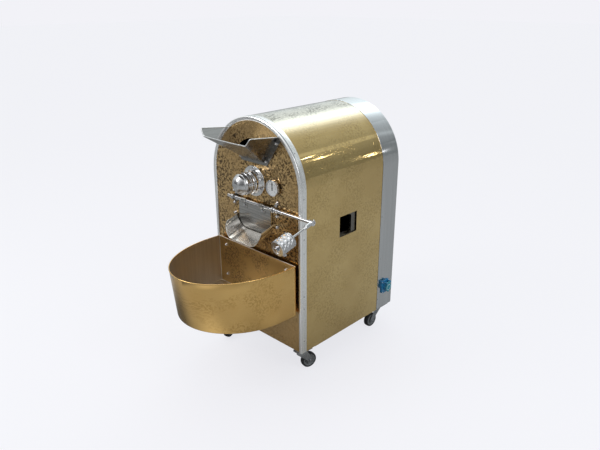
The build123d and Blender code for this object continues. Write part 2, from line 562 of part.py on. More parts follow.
def tray_wire(par, inset):
    a, s, c, z, slope = par
    a, c = a - inset, c - inset
    yb = TRAY_Y - inset
    s = s - inset if inset else s

    def pt(x, y):
        return (x, y, z + slope * (y - TRAY_Y))

    n = 40
    pts = [(a * math.cos(math.pi * k / n), TRAY_Y - par[1] - c * math.sin(math.pi * k / n)) for k in range(n + 1)]
    nose = Spline(*[pt(x, y) for x, y in pts], tangents=[(0, -1, -slope), (0, 1, slope)])
    e1 = Line(pt(a, yb), pt(*pts[0]))
    e2 = Line(pt(*pts[-1]), pt(-a, yb))
    e3 = Line(pt(-a, yb), pt(a, yb))
    return Wire([e1, nose.edges()[0], e2, e3])


def shifted(par, dz):
    a, s, c, z, slope = par
    return (a, s, c, z + dz, slope)


def between(t):
    return tuple(l + (h - l) * t for l, h in zip(TRAY_LOW, TRAY_RIM))


outer = Solid.make_loft([tray_wire(TRAY_LOW, 0), tray_wire(TRAY_RIM, 0)], ruled=True)
k = 2.0 / (TRAY_RIM[3] - TRAY_LOW[3])
inner = Solid.make_loft([tray_wire(between(k), TRAY_T), tray_wire(between(1.03), TRAY_T)], ruled=True)
tray = outer - inner
for x, z in TRAY_BOLTS:
    tray = tray - cyl_y(x, z, 4.25, -40, 0)
keep("catch_tray", tray)
stand = None
for x, z in TRAY_BOLTS:
    c = cyl_y(x, z, 9.0, TRAY_Y, 0) - cyl_y(x, z, 4.25, -40, 10)
    stand = c if stand is None else stand + c
keep("tray_standoffs", stand)

allb = None
for x, z, seat in BOLTS:
    b = bolt(x, z, seat)
    allb = b if allb is None else allb + b
for x, z in HOUSING_BOLTS:
    allb = allb + bolt(x, z, -9.0, HOUSING_BOLT_R)
keep("panel_bolts", allb)

# ---------------------------------------------------------------- power inlet
IX = HALF_W + SHEET
body = bx(IX, IX + 7, INLET_Y - INLET_W / 2, INLET_Y + INLET_W / 2, INLET_Z - INLET_H / 2, INLET_Z + INLET_H / 2)
body = fillet(body.edges().filter_by(Axis.X), 7)
IL = 23.0               # length of the collar outside the flange
HZ, HX = INLET_Z + INLET_R + 5.5, IX + IL + 1.0     # lid hinge
body = body + cyl_x(INLET_Y, INLET_Z, INLET_R, IX - 32, IX + IL)
for k in (-1, 1):
    body = body + bx(IX + 5, HX + 4.5, INLET_Y + k * 17 - 4, INLET_Y + k * 17 + 4, INLET_Z + 16, INLET_Z + INLET_R + 10)
body = body - cyl_x(INLET_Y, INLET_Z, INLET_R - 3, IX - 20, IX + 60)
body = body - bx(IX + IL, IX + 60, INLET_Y - 30, INLET_Y + 30, INLET_Z - 40, INLET_Z + INLET_R + 0.5)
body = body - Pos(HX, INLET_Y, HZ) * Rot(90, 0, 0) * Cylinder(2.6, 60)
for dy in (-INLET_DY, INLET_DY):
    for dz in (-INLET_DZ, INLET_DZ):
        body = body - cyl_x(INLET_Y + dy, INLET_Z + dz, 2.2, IX - 5, IX + 20)
for k in range(3):
    a = math.radians(-90 + 120 * k)
    body = body + cyl_x(INLET_Y + 11.2 * math.cos(a), INLET_Z + 11.2 * math.sin(a), 2.4, IX - 20.5, IX + 14)
keep("inlet_body", body)
lid = cyl_x(INLET_Y, INLET_Z, INLET_R + 1, IX + IL + 0.4, IX + IL + 5.4)
lid = lid - bx(IX, IX + 80, INLET_Y - 40, INLET_Y + 40, INLET_Z + INLET_R - 0.5, INLET_Z + 60)
knuckle = Pos(HX, INLET_Y, HZ) * Rot(90, 0, 0) * Cylinder(4.4, 25)
web = bx(HX + 0.2, HX + 4.4, INLET_Y - 12.5, INLET_Y + 12.5, INLET_Z + 16, HZ)
pin = Pos(HX, INLET_Y, HZ) * Rot(90, 0, 0) * Cylinder(2.5, 44)
lid = lid + knuckle + web + pin
keep("inlet_lid", lid)

# ---------------------------------------------------------------- casters
plates = None
for cx, cy, _ in CASTERS.values():
    p = bx(cx - 52, cx + 52, cy - 26 if cy < 300 else cy - 42, cy + 42, -5, 0) & bx(-299, 299, 4, 712, -5, 0)
    p = p + cyl_z(cx, cy, 26, -13, -5) + cyl_z(cx, cy, 6.0, -27, -5) + cyl_z(cx, cy, 10.0, -27, -21.5)
    plates = p if plates is None else plates + p
for x, y in caster_bolt_at:
    plates = plates - cyl_z(x, y, 4.2, -8, 2)
for x, y in caster_bolt_at:
    plates = plates + cyl_z(x, y, 4.0, -9, 9) + cyl_z(x, y, 7.0, -9, -5)
keep("caster_plates", plates)
for tag, (cx, cy, deg) in CASTERS.items():
    loc = Pos(cx, cy, 0) * Rot(0, 0, deg)
    za = FLOOR + WHEEL_R
    crown = cyl_z(0, 0, 28, -20.5, -14) - cyl_z(0, 0, 6.3, -30, 0)
    fork = crown
    for s in (-1, 1):
        v0, v1 = (15.0, 18.0) if s > 0 else (-18.0, -15.0)
        prof = [(-24, -15), (25, -15), (38, -34), (TRAIL + 15, za + 4), (TRAIL + 11, za - 10), (TRAIL, za - 14), (TRAIL - 11, za - 10), (TRAIL - 17, za + 6), (-26, -24)]
        leg = poly([(u, v0, z) for u, z in prof], (0, v1 - v0, 0))
        leg = leg - (bx(-60, 30, v0 - 1, v1 + 1, -14, 0))
        fork = fork + leg
    axle = Pos(TRAIL, 0, za) * Rot(90, 0, 0) * Cylinder(5.0, 42)
    nuts = Pos(TRAIL, 0, za) * Rot(90, 0, 0) * Cylinder(8.0, 42) - bx(0, 100, -18, 18, -200, 0)
    fork = fork + axle + nuts
    fork = fork - cyl_z(0, 0, 10.4, -28, -21.2)
    keep("caster_fork_" + tag, loc * fork)
    hub = Pos(TRAIL, 0, za) * Rot(90, 0, 0) * (Cylinder(31.0, 22) + Cylinder(11.0, 28) - Cylinder(5.06, 60))
    keep("caster_wheel_" + tag, loc * hub)
    tyre = Pos(TRAIL, 0, za) * Rot(90, 0, 0) * (Cylinder(WHEEL_R, WHEEL_T) - Cylinder(31.02, 60))
    tyre = fillet(tyre.edges().filter_by(GeomType.CIRCLE).sort_by(lambda e: e.radius)[-2:], 5.0)
    keep("caster_tyre_" + tag, loc * tyre)

# ---------------------------------------------------------------- write
for name, shape in nodes.items():
    moved = Pos(-X_SHIFT, -Y_SHIFT, -FLOOR) * shape
    export_step(moved, "parts/" + name + ".step")
lo, hi = [1e9] * 3, [-1e9] * 3
for shape in nodes.values():
    bb = shape.bounding_box()
    for i, (l, h) in enumerate(zip(tuple(bb.min), tuple(bb.max))):
        lo[i], hi[i] = min(lo[i], l), max(hi[i], h)
print(len(nodes), "nodes; working-frame box", [round(v, 3) for v in lo], [round(v, 3) for v in hi])
print("middle", round((lo[0] + hi[0]) / 2, 3), round((lo[1] + hi[1]) / 2, 3), "size", [round(h - l, 2) for l, h in zip(lo, hi)])
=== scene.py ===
import bpy
import bmesh
import math
from mathutils import Vector, Matrix


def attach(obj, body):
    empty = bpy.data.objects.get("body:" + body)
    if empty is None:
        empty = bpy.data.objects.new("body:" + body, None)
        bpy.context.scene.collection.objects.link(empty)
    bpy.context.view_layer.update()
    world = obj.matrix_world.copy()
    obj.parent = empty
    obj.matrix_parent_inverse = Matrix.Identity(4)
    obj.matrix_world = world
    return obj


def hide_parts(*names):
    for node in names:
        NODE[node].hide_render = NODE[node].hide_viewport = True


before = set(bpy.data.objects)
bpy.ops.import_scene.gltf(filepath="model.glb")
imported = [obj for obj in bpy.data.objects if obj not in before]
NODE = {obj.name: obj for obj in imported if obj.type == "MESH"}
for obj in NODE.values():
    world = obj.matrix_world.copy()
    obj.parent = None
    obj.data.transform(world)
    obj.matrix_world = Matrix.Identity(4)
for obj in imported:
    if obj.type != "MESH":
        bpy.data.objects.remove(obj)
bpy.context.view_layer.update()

scene = bpy.context.scene
scene.view_settings.view_transform = "Standard"
scene.view_settings.look = "None"

# The machine's working frame (X right of the middle plane, Y back from the front panel, Z up from the casing's
# lower edge, millimetres) sits in the row frame like this.
SX, SY, SZ = 53.5, 141.0, -125.0


def P(x, y, z):
    return Vector(((x - SX) / 1000.0, (y - SY) / 1000.0, (z - SZ) / 1000.0))


# ------------------------------------------------------------------------------------------------ node materials
class Mat:
    """A principled material with short calls for its node tree."""

    def __init__(self, name, color, rough, metal=0.0, **sockets):
        self.m = bpy.data.materials.new(name)
        self.m.use_nodes = True
        self.t = self.m.node_tree
        self.t.nodes.clear()
        self.out = self.t.nodes.new("ShaderNodeOutputMaterial")
        self.b = self.t.nodes.new("ShaderNodeBsdfPrincipled")
        self.t.links.new(self.b.outputs["BSDF"], self.out.inputs["Surface"])
        self.b.inputs["Metallic"].default_value = metal
        self.color(color)
        self.rough(rough)
        for k, v in sockets.items():
            self.b.inputs[k.replace("_", " ")].default_value = v
        self.obj = self.node("ShaderNodeTexCoord").outputs["Object"]

    def node(self, kind, **props):
        n = self.t.nodes.new(kind)
        for k, v in props.items():
            setattr(n, k, v)
        return n

    def feed(self, inp, v):
        if isinstance(v, bpy.types.NodeSocket):
            self.t.links.new(v, inp)
        elif isinstance(v, (tuple, list)) and len(v) == 3 and inp.type == "RGBA":
            inp.default_value = (*v, 1.0)
        else:
            inp.default_value = v

    def color(self, v):
        self.feed(self.b.inputs["Base Color"], v)

    def rough(self, v):
        self.feed(self.b.inputs["Roughness"], v)

    def math(self, op, a, b=0.0, clamp=False):
        n = self.node("ShaderNodeMath", operation=op, use_clamp=clamp)
        self.feed(n.inputs[0], a)
        self.feed(n.inputs[1], b)
        return n.outputs[0]

    def vec(self, op, a, b=(0.0, 0.0, 0.0)):
        n = self.node("ShaderNodeVectorMath", operation=op)
        self.feed(n.inputs[0], a)
        if op == "SCALE":
            self.feed(n.inputs["Scale"], b)
        else:
            self.feed(n.inputs[1], b)
        return n.outputs["Value"] if op in ("LENGTH", "DISTANCE", "DOT_PRODUCT") else n.outputs["Vector"]

    def sep(self, v):
        n = self.node("ShaderNodeSeparateXYZ")
        self.feed(n.inputs[0], v)
        return n.outputs[0], n.outputs[1], n.outputs[2]

    def comb(self, x, y, z=0.0):
        n = self.node("ShaderNodeCombineXYZ")
        for i, v in enumerate((x, y, z)):
            self.feed(n.inputs[i], v)
        return n.outputs[0]

    def mix(self, fac, a, b):
        n = self.node("ShaderNodeMix", data_type="RGBA")
        self.feed(n.inputs["Factor"], fac)
        self.feed(n.inputs[6], a)
        self.feed(n.inputs[7], b)
        return n.outputs[2]

    def lerp(self, fac, a, b):
        n = self.node("ShaderNodeMix", data_type="FLOAT")
        self.feed(n.inputs["Factor"], fac)
        self.feed(n.inputs[2], a)
        self.feed(n.inputs[3], b)
        return n.outputs[0]

    def remap(self, v, a, b, c=0.0, d=1.0, smooth=True):
        n = self.node("ShaderNodeMapRange", interpolation_type="SMOOTHSTEP" if smooth else "LINEAR")
        self.feed(n.inputs["Value"], v)
        for k, x in (("From Min", a), ("From Max", b), ("To Min", c), ("To Max", d)):
            self.feed(n.inputs[k], x)
        return n.outputs["Result"]

    def noise(self, v, scale, detail=2.0, rough=0.5, dist=0.0, what="Fac"):
        n = self.node("ShaderNodeTexNoise")
        self.feed(n.inputs["Vector"], v)
        n.inputs["Scale"].default_value = scale
        n.inputs["Detail"].default_value = detail
        n.inputs["Roughness"].default_value = rough
        n.inputs["Distortion"].default_value = dist
        return n.outputs[what]

    def cells(self, v, scale, dims="3D", feature="F1", random=1.0):
        n = self.node("ShaderNodeTexVoronoi", voronoi_dimensions=dims, feature=feature)
        self.feed(n.inputs["Vector"], v)
        n.inputs["Scale"].default_value = scale
        n.inputs["Randomness"].default_value = random
        return n

    def bump(self, height, dist, strength=1.0, under=None):
        n = self.node("ShaderNodeBump")
        n.inputs["Strength"].default_value = strength
        n.inputs["Distance"].default_value = dist
        self.feed(n.inputs["Height"], height)
        if under is not None:
            self.feed(n.inputs["Normal"], under)
        return n.outputs["Normal"]

    def normal(self, v):
        self.feed(self.b.inputs["Normal"], v)


def scaled(M, v, sx, sy, sz):
    return M.vec("MULTIPLY", v, (sx, sy, sz))


def unrolled(M):
    """Casing sheet laid flat: depth along the machine, and the distance from the crest round the arch."""
    x, y, z = M.sep(M.obj)
    x = M.math("ADD", x, SX / 1000)
    z = M.math("ADD", z, SZ / 1000)
    above = M.math("MAXIMUM", M.math("SUBTRACT", z, 0.802), 0.0)
    below = M.math("MINIMUM", M.math("SUBTRACT", z, 0.802), 0.0)
    turn = M.math("ARCTAN2", M.math("ABSOLUTE", x), above)
    s = M.math("SUBTRACT", M.math("MULTIPLY", turn, 0.3015), below)
    s = M.math("MULTIPLY", s, M.math("SIGN", x))
    return M.comb(y, s)


def flat_front(M):
    x, y, z = M.sep(M.obj)
    return M.comb(x, z)


def leaf_layer(M, uv, scale, length, width, seed):
    """One small pointed leaf in each cell, turned at random, with a mid vein."""
    p = M.vec("ADD", uv, (seed * 1.37, seed * 0.71, 0.0))
    v = M.cells(p, scale, dims="2D", random=0.95)
    q = M.vec("SCALE", M.vec("SUBTRACT", p, v.outputs["Position"]), scale)
    col = M.node("ShaderNodeSeparateColor")
    M.feed(col.inputs[0], v.outputs["Color"])
    rot = M.node("ShaderNodeVectorRotate", rotation_type="Z_AXIS")
    M.feed(rot.inputs["Vector"], q)
    M.feed(rot.inputs["Angle"], M.math("MULTIPLY", col.outputs[0], 6.2832))
    x, y, _ = M.sep(rot.outputs[0])
    bend = M.math("MULTIPLY", M.math("MULTIPLY", x, x), 0.55)
    y = M.math("ABSOLUTE", M.math("SUBTRACT", y, bend))
    t = M.math("DIVIDE", x, length)
    w = M.math("MULTIPLY", M.math("SUBTRACT", 1.0, M.math("MULTIPLY", t, t)), width)
    body = M.remap(M.math("SUBTRACT", w, y), -0.015, 0.03)
    vein = M.remap(y, 0.008, 0.026)
    return M.math("MULTIPLY", body, vein)


def curl_layer(M, uv, scale, seed):
    """Open rings, as small scrolls between the leaves."""
    p = M.vec("ADD", uv, (seed * 0.93, seed * 2.11, 0.0))
    v = M.cells(p, scale, dims="2D", random=0.9)
    q = M.vec("SCALE", M.vec("SUBTRACT", p, v.outputs["Position"]), scale)
    col = M.node("ShaderNodeSeparateColor")
    M.feed(col.inputs[0], v.outputs["Color"])
    rot = M.node("ShaderNodeVectorRotate", rotation_type="Z_AXIS")
    M.feed(rot.inputs["Vector"], q)
    M.feed(rot.inputs["Angle"], M.math("MULTIPLY", col.outputs[1], 6.2832))
    x, y, _ = M.sep(rot.outputs[0])
    ring = M.math("ABSOLUTE", M.math("SUBTRACT", M.vec("LENGTH", q), 0.27))
    ring = M.remap(ring, 0.085, 0.045)
    return M.math("MULTIPLY", ring, M.remap(x, -0.14, -0.04))


def filigree(M, uv, scale=1.0):
    warp = M.noise(uv, 22.0 * scale, 2.0, what="Color")
    uv = M.vec("ADD", uv, M.vec("SCALE", M.vec("SUBTRACT", warp, (0.5, 0.5, 0.5)), 0.012 / scale))
    a = leaf_layer(M, uv, 56.0 * scale, 0.50, 0.19, 1.0)
    b = leaf_layer(M, uv, 83.0 * scale, 0.48, 0.17, 2.0)
    c = curl_layer(M, uv, 74.0 * scale, 3.0)
    return M.math("MAXIMUM", M.math("MAXIMUM", a, b), c)


def crest(M, low, high):
    """1 on the crest of the casing's arch, 0 on its sides; low and high are degrees down from the crest."""
    _, s, _ = M.sep(unrolled(M))
    return M.remap(M.math("ABSOLUTE", s), 0.3015 * math.radians(low), 0.3015 * math.radians(high), 1.0, 0.0)


def gold(name, uv_of, ground, ground_2, leaf, r_ground, r_leaf, amount, depth, wave, fade=None, film=0.5, size=1.0, patches=(0.36, 0.60), painted_crest_highlight=None):
    """Gold sheet with an etched leaf pattern under a thin clear film."""
    M = Mat(name, ground, r_ground, 1.0, Coat_Weight=film, Coat_Roughness=0.04, Coat_IOR=1.5)
    uv = uv_of(M)
    f = filigree(M, uv, size)
    patch = M.noise(uv, 7.0, 3.0, 0.55)
    strength = M.remap(patch, patches[0], patches[1], amount[0], amount[1])
    if fade:
        # the etching gets weaker towards the bottom of the sheet, and above the hopper
        _, _, z = M.sep(M.obj)
        strength = M.math("MULTIPLY", strength, M.remap(z, fade[0], fade[1], fade[2], 1.0))
        strength = M.math("MULTIPLY", strength, M.remap(z, fade[3], fade[4], 1.0, fade[5]))
    f = M.math("MULTIPLY", f, strength)
    fine = M.noise(M.obj, 420.0, 2.0)
    cloud = M.noise(uv, 3.1, 4.0, 0.6)
    base = M.mix(M.remap(cloud, 0.3, 0.72), ground, ground_2)
    if painted_crest_highlight:
        # painted highlight: where the crest is seen at a grazing angle its ground and etching are painted pale, and on
        # the very top the etching is painted darker and stronger
        lw = M.node("ShaderNodeLayerWeight")
        lw.inputs["Blend"].default_value = 0.5
        flat = M.remap(lw.outputs["Facing"], 0.22, 0.48)
        h = M.math("MULTIPLY", crest(M, 18.0, 46.0), flat)
        base = M.mix(M.math("MULTIPLY", h, painted_crest_highlight[0]), base, painted_crest_highlight[1])
        top = M.math("MULTIPLY", crest(M, 13.0, 23.0), flat)
        leaf = M.mix(top, M.mix(h, leaf, painted_crest_highlight[3]), painted_crest_highlight[2])
        f = M.math("MULTIPLY", f, M.lerp(top, 1.0, 1.5), clamp=True)
    M.color(M.mix(f, base, leaf))
    rough = M.lerp(f, M.remap(fine, 0.3, 0.7, r_ground * 0.88, r_ground * 1.14), r_leaf)
    M.rough(rough)
    slow = M.bump(M.noise(uv, 2.6, 1.0), wave, 1.0)
    if painted_crest_highlight:
        # long shallow waves from rolling the arch
        roll = M.noise(scaled(M, uv, 1.1, 34.0, 1.0), 1.0, 2.0, 0.45)
        roll = M.math("MULTIPLY", roll, M.math("SUBTRACT", crest(M, 70.0, 96.0), crest(M, 24.0, 44.0)))
        slow = M.bump(roll, 0.0008, 1.0, slow)
    M.normal(M.bump(f, depth, 0.7, slow))
    return M.m


def brushed(name, color, rough, axis, spread=0.22, wave=0.0003, tint=None, scratch=0.2, uv_of=None, tone=0.06, top=None, span=(25.0, 62.0)):
    """Metal ground along one axis: long fine lines, faint smears, a little waviness."""
    M = Mat(name, color, rough, 1.0)
    src = uv_of(M) if uv_of else M.obj
    long, fine = 5.0, 900.0
    s = [fine, fine, fine]
    s[axis] = long
    lines = M.noise(scaled(M, src, *s), 1.0, 3.0, 0.6)
    s2 = [140.0, 140.0, 140.0]
    s2[axis] = 2.0
    streak = M.noise(scaled(M, src, *s2), 1.0, 2.0)
    smear = M.noise(M.obj, 9.0, 4.0, 0.6)
    dark = tuple(c * (1 - tone) for c in color)
    light = tint or tuple(min(1.0, c * (1 + tone * 0.5)) for c in color)
    shade = M.mix(M.remap(streak, 0.32, 0.68), dark, light)
    # painted light: with top given, the colour turns to top over the crest of the arch, a painted highlight on the
    # rear band and a painted shadow line behind the edging's lip
    if top:
        shade = M.mix(crest(M, *span), shade, top)
    M.color(shade)
    r = M.remap(lines, 0.25, 0.75, rough * (1 - spread), rough * (1 + spread))
    M.rough(M.math("ADD", r, M.remap(smear, 0.45, 0.75, 0.0, 0.03)))
    slow = M.bump(M.noise(M.obj, 4.0, 1.0), wave, 1.0)
    M.normal(M.bump(lines, 0.00001, scratch, slow))
    return M.m


def polished(name, color, rough, wave=0.00015, marks=0.06):
    """Bright plated or buffed metal: hairline marks and finger smears in the gloss."""
    M = Mat(name, color, rough, 1.0)
    smear = M.noise(M.obj, 30.0, 4.0, 0.62, 0.4)
    hair = M.noise(scaled(M, M.obj, 60.0, 700.0, 700.0), 1.0, 2.0)
    M.color(M.mix(M.remap(smear, 0.35, 0.7), color, tuple(c * 0.93 for c in color)))
    r = M.math("ADD", rough, M.remap(smear, 0.45, 0.75, 0.0, marks))
    M.rough(M.math("ADD", r, M.remap(hair, 0.60, 0.72, 0.0, marks * 0.8)))
    slow = M.bump(M.noise(M.obj, 14.0, 1.0), wave, 1.0)
    M.normal(M.bump(hair, 0.00001, 0.4, slow))
    return M.m


def turned(name, color, rough, centre, pitch=0.0011):
    """Lathe-turned bright metal: faint rings about an axis along Y, with smears."""
    M = Mat(name, color, rough, 1.0)
    x, y, z = M.sep(M.obj)
    dx = M.math("SUBTRACT", x, centre[0])
    dz = M.math("SUBTRACT", z, centre[1])
    rad = M.vec("LENGTH", M.comb(dx, 0.0, dz))
    ring = M.noise(M.comb(M.math("MULTIPLY", rad, 1 / pitch), M.math("MULTIPLY", y, 1 / pitch), 0.0), 1.0, 2.0)
    smear = M.noise(M.obj, 34.0, 4.0, 0.6, 0.3)
    M.color(M.mix(M.remap(smear, 0.35, 0.7), color, tuple(c * 0.9 for c in color)))
    M.rough(M.math("ADD", M.remap(ring, 0.3, 0.7, rough * 0.6, rough * 1.5), M.remap(smear, 0.5, 0.8, 0.0, 0.07)))
    M.normal(M.bump(ring, 0.00003, 0.6))
    return M.m


def mill(name, color, rough, scale=18.0, grime=(0.07, 0.065, 0.06), amount=0.35):
    """Plain rolled or plated steel with cloudy tone and a little grime."""
    M = Mat(name, color, rough, 1.0)
    cloud = M.noise(M.obj, scale, 5.0, 0.62, 0.3)
    spot = M.noise(M.obj, scale * 9, 3.0)
    c = M.mix(M.remap(cloud, 0.32, 0.7), tuple(v * 0.8 for v in color), tuple(min(1, v * 1.08) for v in color))
    M.color(M.mix(M.remap(M.math("MULTIPLY", cloud, spot), 0.30, 0.46, 0.0, amount), c, grime))
    M.rough(M.remap(spot, 0.3, 0.7, rough * 0.75, rough * 1.25))
    M.normal(M.bump(spot, 0.00004, 0.6, M.bump(cloud, 0.0003, 0.5)))
    return M.m


def plastic(name, color, rough, grain=900.0, depth=0.00003, scuff=0.25, spec=0.5, dust=None):
    M = Mat(name, color, rough, 0.0, Specular_IOR_Level=spec)
    g = M.noise(M.obj, grain, 2.0)
    tone = M.noise(M.obj, 40.0, 3.0, 0.6)
    lift = dust or tuple(min(1.0, v * 1.35 + 0.02) for v in color)
    c = M.mix(M.remap(tone, 0.3, 0.7), tuple(v * 0.85 for v in color), tuple(min(1.0, v * 1.1) for v in color))
    M.color(M.mix(M.remap(M.noise(M.obj, 130.0, 4.0, 0.7), 0.56, 0.75, 0.0, scuff), c, lift))
    M.rough(M.remap(tone, 0.25, 0.75, rough * 0.85, min(1.0, rough * 1.2)))
    M.normal(M.bump(g, depth, 0.7))
    return M.m


MAT = {}
MAT["gold_front"] = gold("gold_front", flat_front, (0.70, 0.455, 0.195), (0.78, 0.53, 0.24), (0.075, 0.042, 0.016), 0.24, 0.32, (0.5, 1.0), 0.00012, 0.0006, (0.42, 0.62, 0.3, 1.12, 1.17, 0.45), 0.35, 0.80, (0.36, 0.54))
# painted highlight: the side sheet's crest is painted pale where it is seen at a grazing angle
MAT["gold_side"] = gold("gold_side", unrolled, (0.645, 0.455, 0.178), (0.775, 0.57, 0.242), (0.52, 0.362, 0.132), 0.06, 0.16, (0.10, 0.85), 0.00006, 0.0012, None, 0.7, 1.0, (0.36, 0.60), (0.85, (0.73, 0.725, 0.665), (0.085, 0.075, 0.045), (0.60, 0.58, 0.50)))
MAT["gold_tray"] = gold("gold_tray", unrolled, (0.735, 0.452, 0.15), (0.825, 0.535, 0.195), (0.54, 0.325, 0.10), 0.15, 0.24, (0.0, 0.7), 0.00004, 0.0022, None, 0.3, 1.0, (0.46, 0.62))
MAT["tray_back"] = gold("tray_back", flat_front, (0.58, 0.37, 0.135), (0.66, 0.44, 0.17), (0.30, 0.19, 0.07), 0.36, 0.30, (0.0, 1.0), 0.00010, 0.0006, None, 0.25, 1.0, (0.44, 0.60))
MAT["reverse"] = brushed("reverse", (0.70, 0.64, 0.57), 0.40, 2, wave=0.0006, tone=0.07)
MAT["edging"] = brushed("edging", (0.985, 0.985, 0.99), 0.26, 2)
# painted shadow: the strip behind the rolled lip is dark over the upper arch, standing for the shade in the gap
# between lip and side
MAT["seam_shadow"] = brushed("seam_shadow", (0.90, 0.90, 0.91), 0.28, 2, top=(0.20, 0.21, 0.24), span=(52.0, 84.0))
# painted highlight: the band turns near white over its crest
MAT["band"] = brushed("band", (0.60, 0.61, 0.63), 0.13, 1, uv_of=unrolled, top=(0.86, 0.90, 0.95))
MAT["back"] = brushed("back", (0.60, 0.61, 0.62), 0.24, 2)
MAT["hopper"] = brushed("hopper", (0.56, 0.555, 0.55), 0.14, 1, wave=0.0005)
# painted shade: darker copy of the hopper metal for the faces turned down or outwards
MAT["hopper_painted_shade"] = brushed("hopper_painted_shade", (0.30, 0.29, 0.275), 0.22, 1, wave=0.0005, tone=0.14)
MAT["bright"] = polished("bright", (0.86, 0.86, 0.87), 0.14)
MAT["spout"] = brushed("spout", (0.80, 0.775, 0.73), 0.17, 1, spread=0.1, wave=0.00015, scratch=0.03)
MAT["flap"] = brushed("flap", (0.50, 0.49, 0.475), 0.18, 0, wave=0.0006, tone=0.26)
MAT["bracket"] = brushed("bracket", (0.55, 0.55, 0.55), 0.20, 2)
MAT["shutter"] = brushed("shutter", (0.19, 0.18, 0.165), 0.26, 2)
AX = P(0, 0, 806)
MAT["housing"] = turned("housing", (0.86, 0.86, 0.865), 0.12, (AX.x, AX.z))
MAT["cap"] = turned("cap", (0.63, 0.63, 0.64), 0.18, (AX.x, AX.z), 0.0016)
TH = P(133, 0, 802)
MAT["bezel"] = turned("bezel", (0.72, 0.72, 0.74), 0.10, (TH.x, TH.z), 0.0006)
MAT["chrome"] = polished("chrome", (0.74, 0.74, 0.76), 0.05)
MAT["knurl"] = polished("knurl", (0.63, 0.63, 0.65), 0.05)
MAT["nut"] = polished("nut", (0.66, 0.66, 0.68), 0.12)
MAT["screw"] = polished("screw", (0.60, 0.60, 0.62), 0.16)
MAT["steel"] = mill("steel", (0.42, 0.41, 0.40), 0.42)
MAT["drum"] = mill("drum", (0.30, 0.27, 0.24), 0.45, 14.0, (0.05, 0.035, 0.02), 0.6)
MAT["zinc"] = mill("zinc", (0.40, 0.41, 0.43), 0.30, 40.0, (0.10, 0.10, 0.10), 0.3)
MAT["iron"] = mill("iron", (0.10, 0.095, 0.09), 0.62, 30.0, (0.05, 0.03, 0.02), 0.6)
MAT["brass"] = mill("brass", (0.62, 0.43, 0.15), 0.30, 30.0, (0.16, 0.10, 0.03), 0.3)
MAT["chain"] = mill("chain", (0.16, 0.15, 0.14), 0.40, 60.0, (0.02, 0.02, 0.02), 0.6)
MAT["paint"] = plastic("paint", (0.075, 0.080, 0.085), 0.42, 600.0, 0.00006, 0.15)
MAT["motor"] = plastic("motor", (0.10, 0.13, 0.17), 0.38, 500.0, 0.00008, 0.15)
MAT["blue"] = plastic("blue", (0.028, 0.225, 0.46), 0.24, 1200.0, 0.00002, 0.12)
MAT["blue_lid"] = plastic("blue_lid", (0.018, 0.25, 0.33), 0.24, 1200.0, 0.00002, 0.14)
# painted highlight: pale blue-white standing for the shine on the inlet lid
MAT["pale_highlight_blue"] = plastic("pale_highlight_blue", (0.45, 0.68, 0.80), 0.30, 1200.0, 0.00002, 0.14)
MAT["rubber"] = plastic("rubber", (0.030, 0.031, 0.034), 0.62, 700.0, 0.00010, 0.35, 0.4, (0.12, 0.12, 0.12))
MAT["wheel"] = plastic("wheel", (0.21, 0.22, 0.23), 0.46, 800.0, 0.00004, 0.2)
MAT["black"] = plastic("black", (0.012, 0.012, 0.014), 0.35, 900.0, 0.00002, 0.1)
MAT["wool"] = plastic("wool", (0.55, 0.50, 0.36), 0.95, 260.0, 0.0012, 0.5, 0.1)


def dial_material():
    M = Mat("dial", (0.90, 0.91, 0.92), 0.42, 0.0)
    n = M.noise(M.obj, 60.0, 3.0)
    M.color(M.mix(M.remap(n, 0.35, 0.7), (0.985, 0.99, 1.0), (0.955, 0.965, 0.98)))
    M.rough(M.remap(n, 0.3, 0.7, 0.36, 0.5))
    M.normal(M.bump(M.noise(M.obj, 1400.0, 2.0), 0.00001, 0.4))
    return M.m


def glass_material():
    M = Mat("glass", (0.97, 0.985, 0.99), 0.02, 0.0, Transmission_Weight=1.0, IOR=1.46, Alpha=0.13)
    n = M.noise(M.obj, 55.0, 4.0, 0.6)
    M.rough(M.remap(n, 0.5, 0.8, 0.01, 0.06))
    M.color(M.mix(M.remap(n, 0.4, 0.8), (0.98, 0.99, 0.99), (0.93, 0.955, 0.96)))
    return M.m


MAT["dial"] = dial_material()
MAT["glass"] = glass_material()


# ------------------------------------------------------------------------------------------------ mesh tools
def make(name, data, mat, body="chassis", replaces=(), sharp=38.0, row=False):
    """A piece from (vertices, faces) in working millimetres, shaded smooth up to an angle."""
    verts, faces = data
    me = bpy.data.meshes.new(name)
    me.from_pydata([tuple(v) for v in verts] if row else [tuple(P(*v)) for v in verts], [], faces)
    bm = bmesh.new()
    bm.from_mesh(me)
    bmesh.ops.remove_doubles(bm, verts=bm.verts, dist=1e-7)
    bmesh.ops.recalc_face_normals(bm, faces=bm.faces)
    bm.to_mesh(me)
    bm.free()
    me.polygons.foreach_set("use_smooth", [True] * len(me.polygons))
    me.set_sharp_from_angle(angle=math.radians(sharp))
    ob = bpy.data.objects.new(name, me)
    scene.collection.objects.link(ob)
    me.materials.append(MAT[mat])
    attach(ob, body)
    if replaces:
        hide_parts(*replaces)
    return ob


def join(*parts):
    verts, faces = [], []
    for v, f in parts:
        k = len(verts)
        verts += list(v)
        faces += [tuple(i + k for i in q) for q in f]
    return verts, faces


def moved(data, fn):
    return [fn(*v) for v in data[0]], data[1]


